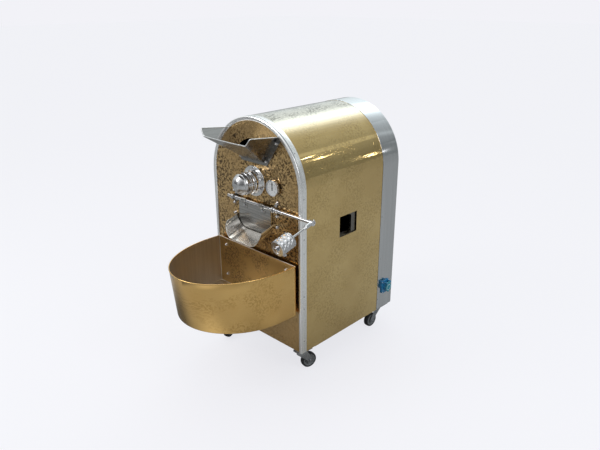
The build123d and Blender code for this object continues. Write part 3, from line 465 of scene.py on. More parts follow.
def loft(rings, wrap=True, loop=False, caps=False):
    verts, faces, idx = [], [], []
    for r in rings:
        idx.append(list(range(len(verts), len(verts) + len(r))))
        verts += r
    pairs = list(zip(idx, idx[1:]))
    if loop:
        pairs.append((idx[-1], idx[0]))
    for a, b in pairs:
        n = max(len(a), len(b))
        if n == 1:
            continue
        for i in range(n if wrap else n - 1):
            j = (i + 1) % n
            if len(a) == 1:
                faces.append((a[0], b[j], b[i]))
            elif len(b) == 1:
                faces.append((a[i], a[j], b[0]))
            else:
                faces.append((a[i], a[j], b[j], b[i]))
    if caps:
        if len(idx[0]) > 2:
            faces.append(tuple(reversed(idx[0])))
        if len(idx[-1]) > 2:
            faces.append(tuple(idx[-1]))
    return verts, faces


def rounded(points, closed=True, steps=5):
    """Polyline of (a, b, radius) with its corners rounded."""
    out, n = [], len(points)
    for i, p in enumerate(points):
        r = p[2] if len(p) > 2 else 0.0
        if r <= 0 or (not closed and i in (0, n - 1)):
            out.append((p[0], p[1]))
            continue
        c = Vector((p[0], p[1]))
        a = Vector(points[i - 1][:2]) - c
        b = Vector(points[(i + 1) % n][:2]) - c
        la, lb = a.length, b.length
        a, b = a / la, b / lb
        cosv = max(-0.9999, min(0.9999, a.dot(b)))
        half = math.acos(cosv) / 2
        if half > math.radians(89):
            out.append((p[0], p[1]))
            continue
        t = min(r / math.tan(half), 0.48 * la, 0.48 * lb)
        r = t * math.tan(half)
        mid = c + (a + b).normalized() * (r / math.sin(half))
        s, e = c + a * t - mid, c + b * t - mid
        ang = math.atan2(s.x * e.y - s.y * e.x, s.dot(e))
        for k in range(steps + 1):
            w = ang * k / steps
            out.append((mid.x + s.x * math.cos(w) - s.y * math.sin(w), mid.y + s.x * math.sin(w) + s.y * math.cos(w)))
    return out


def lathe(profile, segs=72, loop=False):
    """Rings of (x, y, z) about the local z axis from a profile of (radius, height)."""
    rings = []
    for r, h in profile:
        if r < 1e-6:
            rings.append([(0.0, 0.0, h)])
        else:
            rings.append([(r * math.cos(2 * math.pi * i / segs), r * math.sin(2 * math.pi * i / segs), h) for i in range(segs)])
    return loft(rings, loop=loop)


def about_y(data, x, z):
    """Local z of a turned piece becomes the machine's Y, through (x, z)."""
    return moved(data, lambda a, b, h: (x + a, h, z + b))


def about_x(data, y, z):
    return moved(data, lambda a, b, h: (h, y + a, z + b))


def about_z(data, x, y):
    return moved(data, lambda a, b, h: (x + a, y + b, h))


def offset(poly, d):
    """A closed 2-D outline moved inwards by d (outline runs anticlockwise)."""
    n, out = len(poly), []
    for i in range(n):
        p, q, r = Vector(poly[i - 1]), Vector(poly[i]), Vector(poly[(i + 1) % n])
        a, b = (q - p), (r - q)
        if a.length < 1e-9:
            a = b
        if b.length < 1e-9:
            b = a
        na, nb = Vector((-a.y, a.x)).normalized(), Vector((-b.y, b.x)).normalized()
        m = na + nb
        if m.length < 1e-9:
            m = na
        m.normalize()
        k = max(0.35, m.dot(na))
        out.append((q.x + m.x * d / k, q.y + m.y * d / k))
    return out


def area2(poly):
    return sum(a[0] * b[1] - b[0] * a[1] for a, b in zip(poly, poly[1:] + poly[:1]))


def plate(outline, h0, h1, edge=0.6):
    """A flat plate with softened edges: outline in (a, b), thickness along the third axis."""
    o = list(outline)
    if area2(o) < 0:
        o.reverse()
    rings = []
    for inset, h in ((edge, h0), (edge * 0.3, h0 + edge * 0.3), (0, h0 + edge), (0, h1 - edge), (edge * 0.3, h1 - edge * 0.3), (edge, h1)):
        ring = offset(o, inset) if inset else o
        rings.append([(a, b, h) for a, b in ring])
    return loft(rings, caps=True)


def tube(path, r, segs=12, closed=False):
    """A round bar along 3-D points."""
    pts = [Vector(p) for p in path]
    n = len(pts)
    rings, up = [], None
    for i, p in enumerate(pts):
        if closed:
            d = pts[(i + 1) % n] - pts[i - 1]
        else:
            d = pts[min(i + 1, n - 1)] - pts[max(i - 1, 0)]
        d.normalize()
        if up is None:
            up = Vector((0, 0, 1)) if abs(d.z) < 0.9 else Vector((1, 0, 0))
        up = (up - d * up.dot(d)).normalized()
        side = d.cross(up)
        rings.append([tuple(p + (up * math.cos(2 * math.pi * k / segs) + side * math.sin(2 * math.pi * k / segs)) * r) for k in range(segs)])
    if closed:
        return loft(rings, loop=True)
    data = loft(rings, caps=True)
    return data


def nut(r, height, dome=True, segs=48, across=None):
    """Domed hexagon nut on a washer, standing along local z from 0."""
    rc = r * 1.87
    ap = rc * math.cos(math.pi / 6)

    def hexr(t):
        return ap / math.cos((t % (math.pi / 3)) - math.pi / 6)

    ang = [2 * math.pi * i / segs for i in range(segs)]
    w = r * 2.0
    parts = [lathe([(0, 0.0), (w - 0.2, 0.0), (w, 0.25), (w, 1.25), (w - 0.3, 1.6), (0, 1.6)], 32)]
    lim = ap * 1.04
    rings = [[(0.0, 0.0, 1.55)]]
    rings.append([(hexr(t) * math.cos(t), hexr(t) * math.sin(t), 1.6) for t in ang])
    rings.append([(hexr(t) * math.cos(t), hexr(t) * math.sin(t), 1.6 + height - max(0.0, hexr(t) - lim) * 0.6 - 0.15) for t in ang])
    rings.append([(min(hexr(t), lim) * 0.985 * math.cos(t), min(hexr(t), lim) * 0.985 * math.sin(t), 1.6 + height) for t in ang])
    if dome:
        rd = r * 1.35
        rings.append([((rd + 0.25) * math.cos(t), (rd + 0.25) * math.sin(t), 1.6 + height) for t in ang])
        for k in range(0, 8):
            e = math.radians(90 * k / 8)
            rings.append([(rd * math.cos(e) * math.cos(t), rd * math.cos(e) * math.sin(t), 1.6 + height + 0.2 + rd * math.sin(e)) for t in ang])
        rings.append([(0.0, 0.0, 1.6 + height + 0.2 + rd)])
    else:
        rings.append([(0.0, 0.0, 1.6 + height)])
    parts.append(loft(rings))
    return join(*parts)


def screw_head(r, h):
    """Pan head with a cross recess, standing along local z from 0."""
    segs, rad = 40, 10
    rings = [[(0.0, 0.0, 0.0)], [(r * math.cos(2 * math.pi * i / segs), r * math.sin(2 * math.pi * i / segs), 0.0) for i in range(segs)]]
    for k in range(rad, 0, -1):
        q = k / rad
        rr = r * q
        z0 = h * (1 - 0.55 * q ** 4) if q < 0.999 else h * 0.40
        ring = []
        for i in range(segs):
            t = 2 * math.pi * i / segs
            x, y = rr * math.cos(t), rr * math.sin(t)
            arm = 0.16 * r
            inside = (abs(x) < arm and abs(y) < 0.55 * r) or (abs(y) < arm and abs(x) < 0.55 * r)
            ring.append((x, y, z0 - (h * 0.45 if inside else 0.0)))
        rings.append(ring)
    rings.append([(0.0, 0.0, h * 0.5)])
    return loft(rings)


def soften(node, mat, width=0.6, angle=30.0, segs=2):
    """Finish for a CAD piece that stays: its material, and fine rounded edges by modifiers."""
    ob = NODE[node]
    ob.data.materials.clear()
    ob.data.materials.append(MAT[mat])
    if width < 0:
        return ob
    w = ob.modifiers.new("weld", "WELD")
    w.merge_threshold = 0.00001
    if width == 0:
        n = ob.modifiers.new("normals", "WEIGHTED_NORMAL")
        n.weight = 60
        return ob
    d = ob.modifiers.new("flat", "DECIMATE")
    d.decimate_type = "DISSOLVE"
    d.angle_limit = math.radians(0.4)
    d.delimit = {"MATERIAL"}
    b = ob.modifiers.new("edges", "BEVEL")
    b.width = width / 1000
    b.segments = segs
    b.limit_method = "ANGLE"
    b.angle_limit = math.radians(angle)
    b.use_clamp_overlap = True
    n = ob.modifiers.new("normals", "WEIGHTED_NORMAL")
    n.weight = 60
    return ob


# ------------------------------------------------------------------------------------------------ casing
def arch_path(steps=96):
    """Stations along the casing's outline: base point (x, z) and outward direction."""
    st = [((0.0, z), (-1.0, 0.0)) for z in (0.0, 200.0, 400.0, 600.0, 780.0)]
    for k in range(steps + 1):
        a = math.pi - math.pi * k / steps
        st.append(((0.0, 802.0), (math.cos(a), math.sin(a))))
    st += [((0.0, z), (1.0, 0.0)) for z in (780.0, 600.0, 400.0, 200.0, 0.0)]
    return st


def arch_sweep(profile):
    rings = []
    for (bx, bz), (ox, oz) in arch_path():
        rings.append([(bx + ox * r, y, bz + oz * r) for r, y in profile])
    return loft(rings, caps=True)


# bright edging round the front: a half-round rolled lip that turns back over the side
edge_prof = [(291.5 - 10.0 * math.cos(math.pi * k / 20), -0.7 - 6.3 * math.sin(math.pi * k / 20)) for k in range(21)]
edge_prof += [(301.5, 4.0), (301.5, 29.2), (301.3, 29.8), (300.9, 30.0), (300.1, 30.0), (300.05, 29.5), (300.05, 0.05), (282.2, 0.05)]
edging = make("front_edging", arch_sweep(edge_prof), "edging", replaces=["front_trim"])
# painted shadow: the strip just behind the rolled lip gets the dark line material
edging.data.materials.append(MAT["seam_shadow"])
for q in edging.data.polygons:
    ys = [edging.data.vertices[i].co.y * 1000 + SY for i in q.vertices]
    if min(ys) > -0.8 and 3.0 < max(ys) < 5.0:
        q.material_index = 1

soften("front_panel", "gold_front", 0.3)
soften("side_wrap", "gold_side", 0.3)
soften("rear_band", "band", 0)
soften("rear_panel", "back", 0.4)

# ------------------------------------------------------------------------------------------------ catch tray
TRAY_Y = -12.0
LOW = (275.0, 100.0, 322.0, 205.0, -0.040)
RIM = (274.5, 62.0, 392.0, 459.0, -0.026)


def tray_outline(t, inset, n=96):
    a, s, c, z, k = [l + (h - l) * t for l, h in zip(LOW, RIM)]
    pts = []
    rc = 5.0
    for q in range(6):
        w = math.pi / 2 * (1 - q / 5)
        pts.append((a - rc + rc * math.cos(w), TRAY_Y - rc + rc * math.sin(w)))
    m = 7
    for q in range(1, m):
        pts.append((a, TRAY_Y - rc - (s - rc) * q / m))
    for q in range(n + 1):
        w = math.pi * q / n
        pts.append((a * math.cos(w), TRAY_Y - s - c * math.sin(w)))
    for q in range(1, m):
        pts.append((-a, TRAY_Y - s + (s - rc) * q / m))
    for q in range(6):
        w = math.pi / 2 * (1 + (5 - q) / 5)
        pts.append((-a + rc + rc * math.cos(w), TRAY_Y - rc + rc * math.sin(w)))
    for q in range(1, 24):
        pts.append((-a + rc + (2 * a - 2 * rc) * q / 24, TRAY_Y))
    pts.reverse()
    out = offset(pts, inset) if inset else pts
    return [(x, y, z + k * (y - TRAY_Y)) for x, y in out]


def tray_mesh():
    H = 459.0 - 205.0
    rings = []
    for k in range(6):
        w = math.pi / 2 * k / 5
        rings.append([(x, y, z + 4 - 4 * math.sin(w)) for x, y, z in tray_outline(0.0, 4 - 4 * math.cos(w))])
    rings.reverse()
    for k in range(1, 10):
        t = 4 / H + (1 - 4 / H - 4 / H) * k / 9
        rings.append(tray_outline(t, 0.0))
    # rolled rim
    for k in range(0, 13):
        w = math.radians(-150 + 300 * k / 12)
        rings.append([(x, y, z - 1.2 + 2.4 * math.cos(w)) for x, y, z in tray_outline(1.0, 1.0 + 2.4 * math.sin(w))])
    for k in range(9, 0, -1):
        t = 6 / H + (1 - 6 / H - 4 / H) * k / 9
        rings.append(tray_outline(t, 2.0))
    for k in range(5):
        w = math.pi / 2 * k / 4
        rings.append([(x, y, z + 2 + 3 - 3 * math.sin(w)) for x, y, z in tray_outline(0.0, 2.0 + 3 - 3 * math.cos(w))])
    return loft(rings, caps=True)


tray = make("tray", tray_mesh(), "gold_tray", replaces=["catch_tray"], sharp=40)
# outside in gold, the inside of the curved wall and floor in the sheet's plain reverse, the back wall etched
tray.data.materials.append(MAT["reverse"])
tray.data.materials.append(MAT["tray_back"])
heart = P(0, -170, 420)
for q in tray.data.polygons:
    inward = q.normal.dot(heart - q.center)
    if q.normal.y < -0.9 and q.center.y > P(0, -20, 0).y:
        q.material_index = 2
    elif inward > 0.02 and q.center.z < P(0, 0, 461).z:
        q.material_index = 1
soften("tray_standoffs", "bracket", 0.4)

# ------------------------------------------------------------------------------------------------ hopper, spout, gate
soften("feed_hopper", "hopper", 0.5)
# the hopper's faces that turn down or outwards, on its outside and flanges, take a darker copy of its metal: painted
# shade and dark reflection
NODE["feed_hopper"].data.materials.append(MAT["hopper_painted_shade"])
for q in NODE["feed_hopper"].data.polygons:
    if q.normal.z < 0.25:
        q.material_index = 1
soften("discharge_spout", "spout", 0.5)
soften("gate_brackets", "bracket", 0.7)
soften("gate_shaft", "chrome", 0.8)
soften("gate_flap", "flap", 0.5)
soften("gate_bolts", "nut", 0.5)
soften("gate_arm", "chrome", 0.8)


ARM_X, ARM_Y, ARM_Z, ARM_TILT = 374.0, -16.0, 700.0, math.radians(15.5)
AC, AS = math.cos(ARM_TILT), math.sin(ARM_TILT)


def along_arm(a, b, h):
    """Local z runs down the lever arm from the shaft, local y is square to it and upwards."""
    return (ARM_X + a, ARM_Y - AC * h - AS * b, ARM_Z - AS * h + AC * b)


def weight_mesh():
    """Round weight with a diamond knurl between two plain shoulders, and its clamp screw underneath."""
    R, h0, h1 = 36.0, 136.0, 214.0
    n, m = 24, 6
    rings = [[(5.1 * math.cos(2 * math.pi * i / n), 5.1 * math.sin(2 * math.pi * i / n), h0) for i in range(n)]]

    def ring(r, h):
        rings.append([(r * math.cos(2 * math.pi * i / n), r * math.sin(2 * math.pi * i / n), h) for i in range(n)])

    for r, h in ((R - 3.0, h0), (R - 1.6, h0 + 0.4), (R - 0.4, h0 + 1.6), (R, h0 + 3.0), (R, h0 + 6.5), (R - 1.2, h0 + 7.2)):
        ring(r, h)
    k0, k1 = h0 + 8.2, h1 - 8.2
    for j in range(m + 1):
        h = k0 + (k1 - k0) * j / m
        rings.append([((R - (0.1 if (i + j) % 2 == 0 else 3.2)) * math.cos(2 * math.pi * i / n), (R - (0.1 if (i + j) % 2 == 0 else 3.2)) * math.sin(2 * math.pi * i / n), h) for i in range(n)])
    for r, h in ((R - 1.2, h1 - 7.2), (R, h1 - 6.5), (R, h1 - 3.0), (R - 0.4, h1 - 1.6), (R - 1.6, h1 - 0.4), (R - 3.0, h1), (22.0, h1), (20.8, h1 - 1.4), (14.0, h1 - 1.4), (13.0, h1), (5.1, h1)):
        ring(r, h)
    verts, faces = loft(rings, loop=True)
    cut = []
    for k, q in enumerate(faces):
        row, i = divmod(k, n)
        row -= 7
        if 0 <= row < m:
            a, b, c, d = q
            cut += [(a, b, c), (a, c, d)] if (i + row) % 2 == 0 else [(a, b, d), (b, c, d)]
        else:
            cut.append(q)
    body = moved((verts, cut), along_arm)
    screw = lathe(rounded([(0.0, -34.0), (5.0, -34.0), (5.0, -44.8, 0.5), (8.5, -45.6, 0.8), (8.5, -51.6, 1.2), (7.2, -52.5, 0.8), (3.4, -52.5, 0.4), (3.0, -50.6, 0.4), (0.0, -50.6)], False, 3), 36)
    screw = moved(screw, lambda p, q, h: along_arm(p, h, 183.0 + q))
    return join(body, screw)


make("weight_body", weight_mesh(), "knurl", body="gate", replaces=["counterweight"], sharp=12)


def hopper_hem():
    """Folded safe edge round the hopper's mouth."""
    A, B, D = Vector((66.0, 0.0, 905.0)), Vector((158.0, 0.0, 1033.0)), Vector((139.0, -170.0, 1020.0))
    n = (B - A).cross(D - A)

    def wing(y, z):
        return Vector((A.x - (n.y * y + n.z * (z - A.z)) / n.x + 1.0, y, z))

    half = [wing(-5.0, 1033.6), wing(-85.0, 1043.3), wing(-165.0, 1053.0), wing(-170.5, 1021.5), Vector((70.0, -171.0, 1019.6)), Vector((0.0, -171.0, 1019.6))]
    pts = half + [Vector((-v.x, v.y, v.z)) for v in reversed(half[:-1])]
    path = [pts[0]]
    for a, b, c in zip(pts, pts[1:], pts[2:]):
        u, w = (a - b), (c - b)
        if u.normalized().dot(w.normalized()) < -0.98:
            path.append(b)
            continue
        e = 7.0
        p0, p2 = b + u.normalized() * e, b + w.normalized() * e
        for k in range(7):
            t = k / 6
            path.append(p0 * (1 - t) ** 2 + b * 2 * t * (1 - t) + p2 * t * t)
    path.append(pts[-1])
    return tube([tuple(v) for v in path], 2.3, 12)


make("hopper_hem", hopper_hem(), "bright")


def spout_lip():
    """Rolled bead along the spout's open end."""
    W, Z0, Z1, R, T = 121.0, 557.0, 622.0, 61.0, 0.0
    prof = [(-W, Z1 - 1)]
    for k in range(13):
        w = math.pi + math.pi / 2 * k / 12
        prof.append((-W + R + R * math.cos(w), Z0 + R + R * math.sin(w)))
    for k in range(1, 8):
        prof.append((-W + R + (2 * W - 2 * R) * k / 8, Z0))
    for k in range(13):
        w = -math.pi / 2 + math.pi / 2 * k / 12
        prof.append((W - R + R * math.cos(w), Z0 + R + R * math.sin(w)))
    prof.append((W, Z1 - 1))
    cut = [(-72.0, 640.0), (-78.0, 602.0), (-92.0, 572.0), (-108.0, 500.0)]

    def front(z):
        for (y1, z1), (y2, z2) in zip(cut, cut[1:]):
            if z2 <= z <= z1:
                return y1 + (y2 - y1) * (z1 - z) / (z1 - z2)
        return cut[0][0] if z > cut[0][1] else cut[-1][0]

    path = []
    for x, z in prof:
        y = -80.0
        for _ in range(30):
            y = front(z + 0.3125 * y)
        path.append((x, y + 0.6, z + 0.3125 * y))
    return tube(path, 2.1, 12)


make("spout_lip", spout_lip(), "spout")

# ------------------------------------------------------------------------------------------------ bearing housing
hsg = rounded([(18.0, 0.0), (72.5, 0.0, 0.8), (72.5, -9.0, 2.0), (53.5, -9.0, 1.2), (53.5, -17.0, 0.6), (52.4, -18.0, 0.4), (52.4, -20.0, 0.4), (53.5, -21.0, 0.6), (53.5, -37.0, 1.6), (51.0, -40.0, 1.0), (45.0, -41.5, 0.8), (45.0, -46.0, 0.8), (49.0, -47.5, 0.8), (50.0, -50.0, 0.8), (50.0, -58.0, 0.6), (48.5, -60.0, 0.6), (31.0, -60.0, 0.6), (31.0, -34.0), (18.0, -34.0)], True, 4)
make("bearing_body", about_y(lathe(hsg, 96, loop=True), 0, 806), "housing", replaces=["bearing_housing"], sharp=30)
CAP_R, CAP_Y, CAP_DOME = 51.0, -78.0, 43.0
cap = rounded([(24.0, -60.0), (49.0, -60.0, 1.5), (CAP_R, -62.5, 1.0), (CAP_R, -68.6, 0.4), (49.6, -69.5, 0.4), (49.6, -71.5, 0.4), (CAP_R, -72.4, 0.4), (CAP_R, -76.0)], False, 5)
for k in range(8):
    a = math.radians(16.0 * k / 7)
    cap.append((CAP_R * math.cos(a), CAP_Y - CAP_DOME * math.sin(a)))
for k in range(44):
    a = math.radians(18.5 + 71.5 * k / 43)
    # two more turned steps on the way to the nose
    shrink = CAP_R - 1.6 - (1.5 if k > 10 else 0.0) - (1.4 if k > 24 else 0.0)
    cap.append((shrink * math.cos(a) if k < 43 else 0.0, CAP_Y - (CAP_DOME - (0.9 if k > 24 else 0.0)) * math.sin(a)))
cap = [(0.0, -97.5), (24.0, -97.5)] + cap
make("bearing_dome", about_y(lathe(cap, 96), 0, 806), "cap", replaces=["bearing_cap"], sharp=30)

# ------------------------------------------------------------------------------------------------ thermometer
TX, TZ = 133.0, 802.0
case = rounded([(0.0, 46.0), (5.2, 46.0, 1.0), (6.0, 44.0, 0.5), (6.0, 0.0), (13.0, 0.0), (13.0, -2.6, 0.4), (35.0, -3.0, 2.0), (38.0, -6.0, 2.5), (38.0, -14.0, 0.4), (37.3, -14.8, 0.3), (37.3, -15.8, 0.3), (38.0, -16.6, 0.4), (38.0, -20.4, 1.8), (36.3, -22.0, 1.2), (35.2, -22.0, 0.7), (34.95, -19.3), (34.95, -15.05), (2.2, -15.05), (2.2, -9.0), (0.0, -9.0)], False, 5)
make("dial_case", about_y(lathe(case, 96), TX, TZ), "bezel", replaces=["thermometer_case"], sharp=30)
soften("thermometer_dial", "dial", -1)
soften("thermometer_glass", "glass", 0.4)


def dial_marks():
    parts = []
    cx, cz, y = TX, TZ, -16.2

    def bar(r0, r1, deg, w):
        a = math.radians(90 - deg)
        d, s = Vector((math.cos(a), math.sin(a))), Vector((-math.sin(a), math.cos(a)))
        c = [d * r0 + s * w / 2, d * r1 + s * w / 2, d * r1 - s * w / 2, d * r0 - s * w / 2]
        v = [(cx + p.x, y, cz + p.y) for p in c] + [(cx + p.x, y - 0.12, cz + p.y) for p in c]
        return v, [(0, 1, 2, 3), (7, 6, 5, 4), (0, 4, 5, 1), (1, 5, 6, 2), (2, 6, 7, 3), (3, 7, 4, 0)]

    for i in range(61):
        deg = -135 + 4.5 * i
        if i % 10 == 0:
            parts.append(bar(27.4, 32.6, deg, 0.8))
        elif i % 5 == 0:
            parts.append(bar(29.2, 32.6, deg, 0.5))
        else:
            parts.append(bar(30.6, 32.6, deg, 0.3))
    # thin arc that carries the ticks
    n = 90
    inner, outer = [], []
    for i in range(n + 1):
        a = math.radians(90 - (-135 + 270 * i / n))
        inner.append((math.cos(a) * 32.4, math.sin(a) * 32.4))
        outer.append((math.cos(a) * 32.9, math.sin(a) * 32.9))
    rings = []
    for (ax, az), (bx_, bz) in zip(inner, outer):
        rings.append([(cx + ax, y, cz + az), (cx + bx_, y, cz + bz), (cx + bx_, y - 0.12, cz + bz), (cx + ax, y - 0.12, cz + az)])
    parts.append(loft(rings, caps=True))
    for i in range(7):
        deg = -135 + 45 * i
        a = math.radians(90 - deg)
        cu = bpy.data.curves.new("num%d" % i, "FONT")
        cu.body = str(50 * i)
        cu.size = 5.2
        cu.align_x = "CENTER"
        cu.align_y = "CENTER"
        cu.extrude = 0.06
        cu.resolution_u = 3
        ob = bpy.data.objects.new("num%d" % i, cu)
        scene.collection.objects.link(ob)
        bpy.context.view_layer.update()
        me = bpy.data.meshes.new_from_object(ob.evaluated_get(bpy.context.evaluated_depsgraph_get()))
        px, pz = cx + 21.2 * math.cos(a), cz + 21.2 * math.sin(a)
        v = [(px + q.co.x, y - 0.06 + q.co.z, pz + q.co.y) for q in me.vertices]
        f = [tuple(p.vertices) for p in me.polygons]
        parts.append((v, f))
        bpy.data.objects.remove(ob)
        bpy.data.curves.remove(cu)
        bpy.data.meshes.remove(me)
    return join(*parts)


make("dial_scale", dial_marks(), "black", sharp=30)


def needle_mesh():
    half = [(0.0, 28.6), (0.7, 27.2), (1.8, 23.0), (3.6, 18.6), (3.8, 16.8), (3.0, 14.4), (2.3, 11.0), (2.2, 6.0), (2.3, 0.0), (2.6, -6.0), (3.3, -9.5), (2.7, -11.8), (0.0, -12.6)]
    o = half + [(-a, b) for a, b in reversed(half[1:-1])]
    p = plate(o, 16.75, 17.6, 0.18)
    p = moved(p, lambda a, b, h: (TX + a, -h, TZ + b))
    boss = about_y(lathe(rounded([(0.0, -16.7), (3.8, -16.7), (3.8, -17.9, 0.5), (2.8, -18.4, 0.4), (0.0, -18.4)], False, 4), 40), TX, TZ)
    stem = about_y(lathe([(0.0, -16.9), (1.5, -16.9), (1.5, -10.0), (0.0, -10.0)], 24), TX, TZ)
    return join(p, boss, stem)


make("needle_hand", needle_mesh(), "black", body="needle", replaces=["thermometer_needle"])

# ------------------------------------------------------------------------------------------------ fasteners
HOUSING = [(60.0 * math.cos(math.radians(a)), 806 + 60.0 * math.sin(math.radians(a))) for a in (30, 90, 150, 210, 270, 330)]
BOLTS = []
for s in (-1, 1):
    BOLTS += [(s * 153.0, 1006.0, -2.0), (s * 86.0, 913.0, -2.0)]
    BOLTS += [(s * 148.0, z, 0.0) for z in (613.0, 667.0, 729.0)]
    BOLTS += [(s * 215.0, z, -14.0) for z in (262.0, 425.0)]


def fastener_set():
    parts = []
    big, small = nut(4.0, 5.2), nut(3.0, 3.9)
    for i, (x, z, seat) in enumerate(BOLTS):
        a = 0.37 * i
        c, s = math.cos(a), math.sin(a)
        parts.append(moved(big, lambda p, q, h: (x + p * c - q * s, seat - h, z + p * s + q * c)))
        parts.append(about_y(lathe([(0, seat), (4.0, seat), (4.0, 5.4), (0, 5.4)], 20), x, z))
    for i, (x, z) in enumerate(HOUSING):
        a = 0.61 * i
        c, s = math.cos(a), math.sin(a)
        parts.append(moved(small, lambda p, q, h: (x + p * c - q * s, -9.0 - h, z + p * s + q * c)))
        parts.append(about_y(lathe([(0, -9.0), (3.0, -9.0), (3.0, 5.4), (0, 5.4)], 20), x, z))
    return join(*parts)


make("domed_nuts", fastener_set(), "nut", replaces=["panel_bolts"], sharp=28)


def screw_set():
    parts = []
    flat, tall = screw_head(3.6, 1.5), screw_head(3.6, 2.0)
    k = 0

    def turn(data, a):
        c, s = math.cos(a), math.sin(a)
        return moved(data, lambda p, q, h: (p * c - q * s, p * s + q * c, h))

    for s in (-1, 1):
        for y, zs in ((13.0, (65, 240, 304, 522, 590, 780)), (594.0, (60, 300, 540, 760))):
            for z in zs:
                k += 1
                parts.append(moved(turn(flat, k * 0.7), lambda p, q, h: (s * (301.5 + h), y + p, z + q)))
        for z in (40, 280, 520, 760):
            k += 1
            parts.append(moved(turn(tall, k * 0.7), lambda p, q, h: (s * 286 + p, 715.0 + h, z + q)))
    for deg in (35, 90, 145):
        a = math.radians(deg)
        ca, sa = math.cos(a), math.sin(a)
        k += 1
        parts.append(moved(turn(tall, k * 0.7), lambda p, q, h: (286 * ca + p, 715.0 + h, 802 + 286 * sa + q)))
        for y in (13.0, 594.0):
            k += 1
            parts.append(moved(turn(flat, k * 0.7), lambda p, q, h: ((301.5 + h) * ca - q * sa, y + p, 802 + (301.5 + h) * sa + q * ca)))
    for dy in (-25.5, 25.5):
        for dz in (-29.5, 29.5):
            k += 1
            parts.append(moved(turn(tall, k * 0.7), lambda p, q, h: (308.5 + h, 650 + dy + p, 124 + dz + q)))
    return join(*parts)


make("pan_screws", screw_set(), "screw", replaces=["casing_screws"], sharp=30)

# ------------------------------------------------------------------------------------------------ side port
soften("port_shutter", "shutter", 0.4)
soften("shutter_rails", "steel", 0.3)

# ------------------------------------------------------------------------------------------------ power inlet
soften("inlet_body", "blue", 0.8)
soften("inlet_lid", "blue_lid", 0.8)


def inlet_pins():
    parts = []
    for k in range(3):
        a = math.radians(-90 + 120 * k)
        y, z = 650 + 11.2 * math.cos(a), 124 + 11.2 * math.sin(a)
        parts.append(about_x(lathe(rounded([(0, 281.0), (2.5, 281.0), (2.5, 315.9, 1.6), (0, 315.9)], False, 5), 24), y, z))
    return join(*parts)


make("inlet_pins", inlet_pins(), "brass", sharp=40)
ring = rounded([(14.0, 329.7), (14.6, 330.9, 0.5), (16.4, 330.9, 0.5), (17.0, 329.7)], True, 4)
# painted highlight: the lid's ring is pale to stand for the shine on the lid
make("lid_ring", about_x(lathe(ring, 64, loop=True), 650, 124), "pale_highlight_blue", body="lid")
tab = plate(rounded([(-7, -17, 2), (-5, -28.0, 3), (5, -28.0, 3), (7, -17, 2)], True, 4), 325.6, 329.4, 0.8)
make("lid_tab", moved(tab, lambda a, b, h: (h, 650 + a, 124 + b)), "blue_lid", body="lid")

# ------------------------------------------------------------------------------------------------ back
soften("flue_spigot", "band", 0.5)
soften("gas_manifold", "brass", 0.4)


def louvres():
    """Pressed hoods over the slots of the rear panel."""
    parts = []
    slots = [(s * 120.0, 70.0, 140.0 + 26 * i) for i in range(7) for s in (-1, 1)]
    slots += [(0.0, 110.0, 560.0 + 26 * i) for i in range(4)]
    for xc, L, z0 in slots:
        L += 4
        zt, zb, deep, end = z0 + 14.0, z0 - 0.5, 8.5, 12.0
        xs = [-L + end * (1 - math.cos(math.pi / 2 * k / 8)) for k in range(8)]
        xs += [-L + end + (2 * L - 2 * end) * k / 6 for k in range(7)]
        xs += [L - end * (1 - math.cos(math.pi / 2 * k / 8)) for k in range(7, -1, -1)]
        outer, inner = [], []
        for x in xs:
            q = max(0.0, (abs(x) - (L - end)) / end)
            f = math.sqrt(max(0.0, 1 - q * q))
            o, i_ = [], []
            for v in range(9):
                a = math.pi / 2 * v / 8
                z = zt - (zt - zb) * math.sin(a)
                o.append((xc + x, 715.0 + (deep * f) * (1 - math.cos(a)) + 0.02, z))
                i_.append((xc + x * 0.985, 715.0 + max(0.0, deep * f - 1.2) * (1 - math.cos(a)) + 0.01, z - 0.6 * (1 - v / 8)))
            outer.append(o)
            inner.append(i_)
        # one closed strip: outer skin, lower lip, inner skin
        rings = [o + list(reversed(i_)) for o, i_ in zip(outer, inner)]
        parts.append(loft(rings, wrap=True, caps=True))
    return join(*parts)


make("louvre_hoods", louvres(), "back", sharp=35)


def nipple():
    parts = []
    ap = 15.4
    hexagon = [(ap / math.cos(math.pi / 6) * math.cos(math.pi / 3 * k), ap / math.cos(math.pi / 6) * math.sin(math.pi / 3 * k)) for k in range(6)]
    parts.append(moved(plate(hexagon, 716.0, 722.2, 0.7), lambda a, b, h: (-200 + a, h, 455 + b)))
    prof = [(7.2, 722.0)]
    y = 724.0
    prof.append((10.5, 722.6))
    while y < 746.0:
        prof += [(10.5, y), (10.86, y + 0.5), (10.86, y + 0.8), (10.5, y + 1.3)]
        y += 1.8
    prof += [(10.5, 747.2), (10.0, 747.9), (7.2, 747.9)]
    parts.append(about_y(lathe(prof, 56, loop=True), -200, 455))
    return join(*parts)


make("gas_thread", nipple(), "brass", sharp=30)

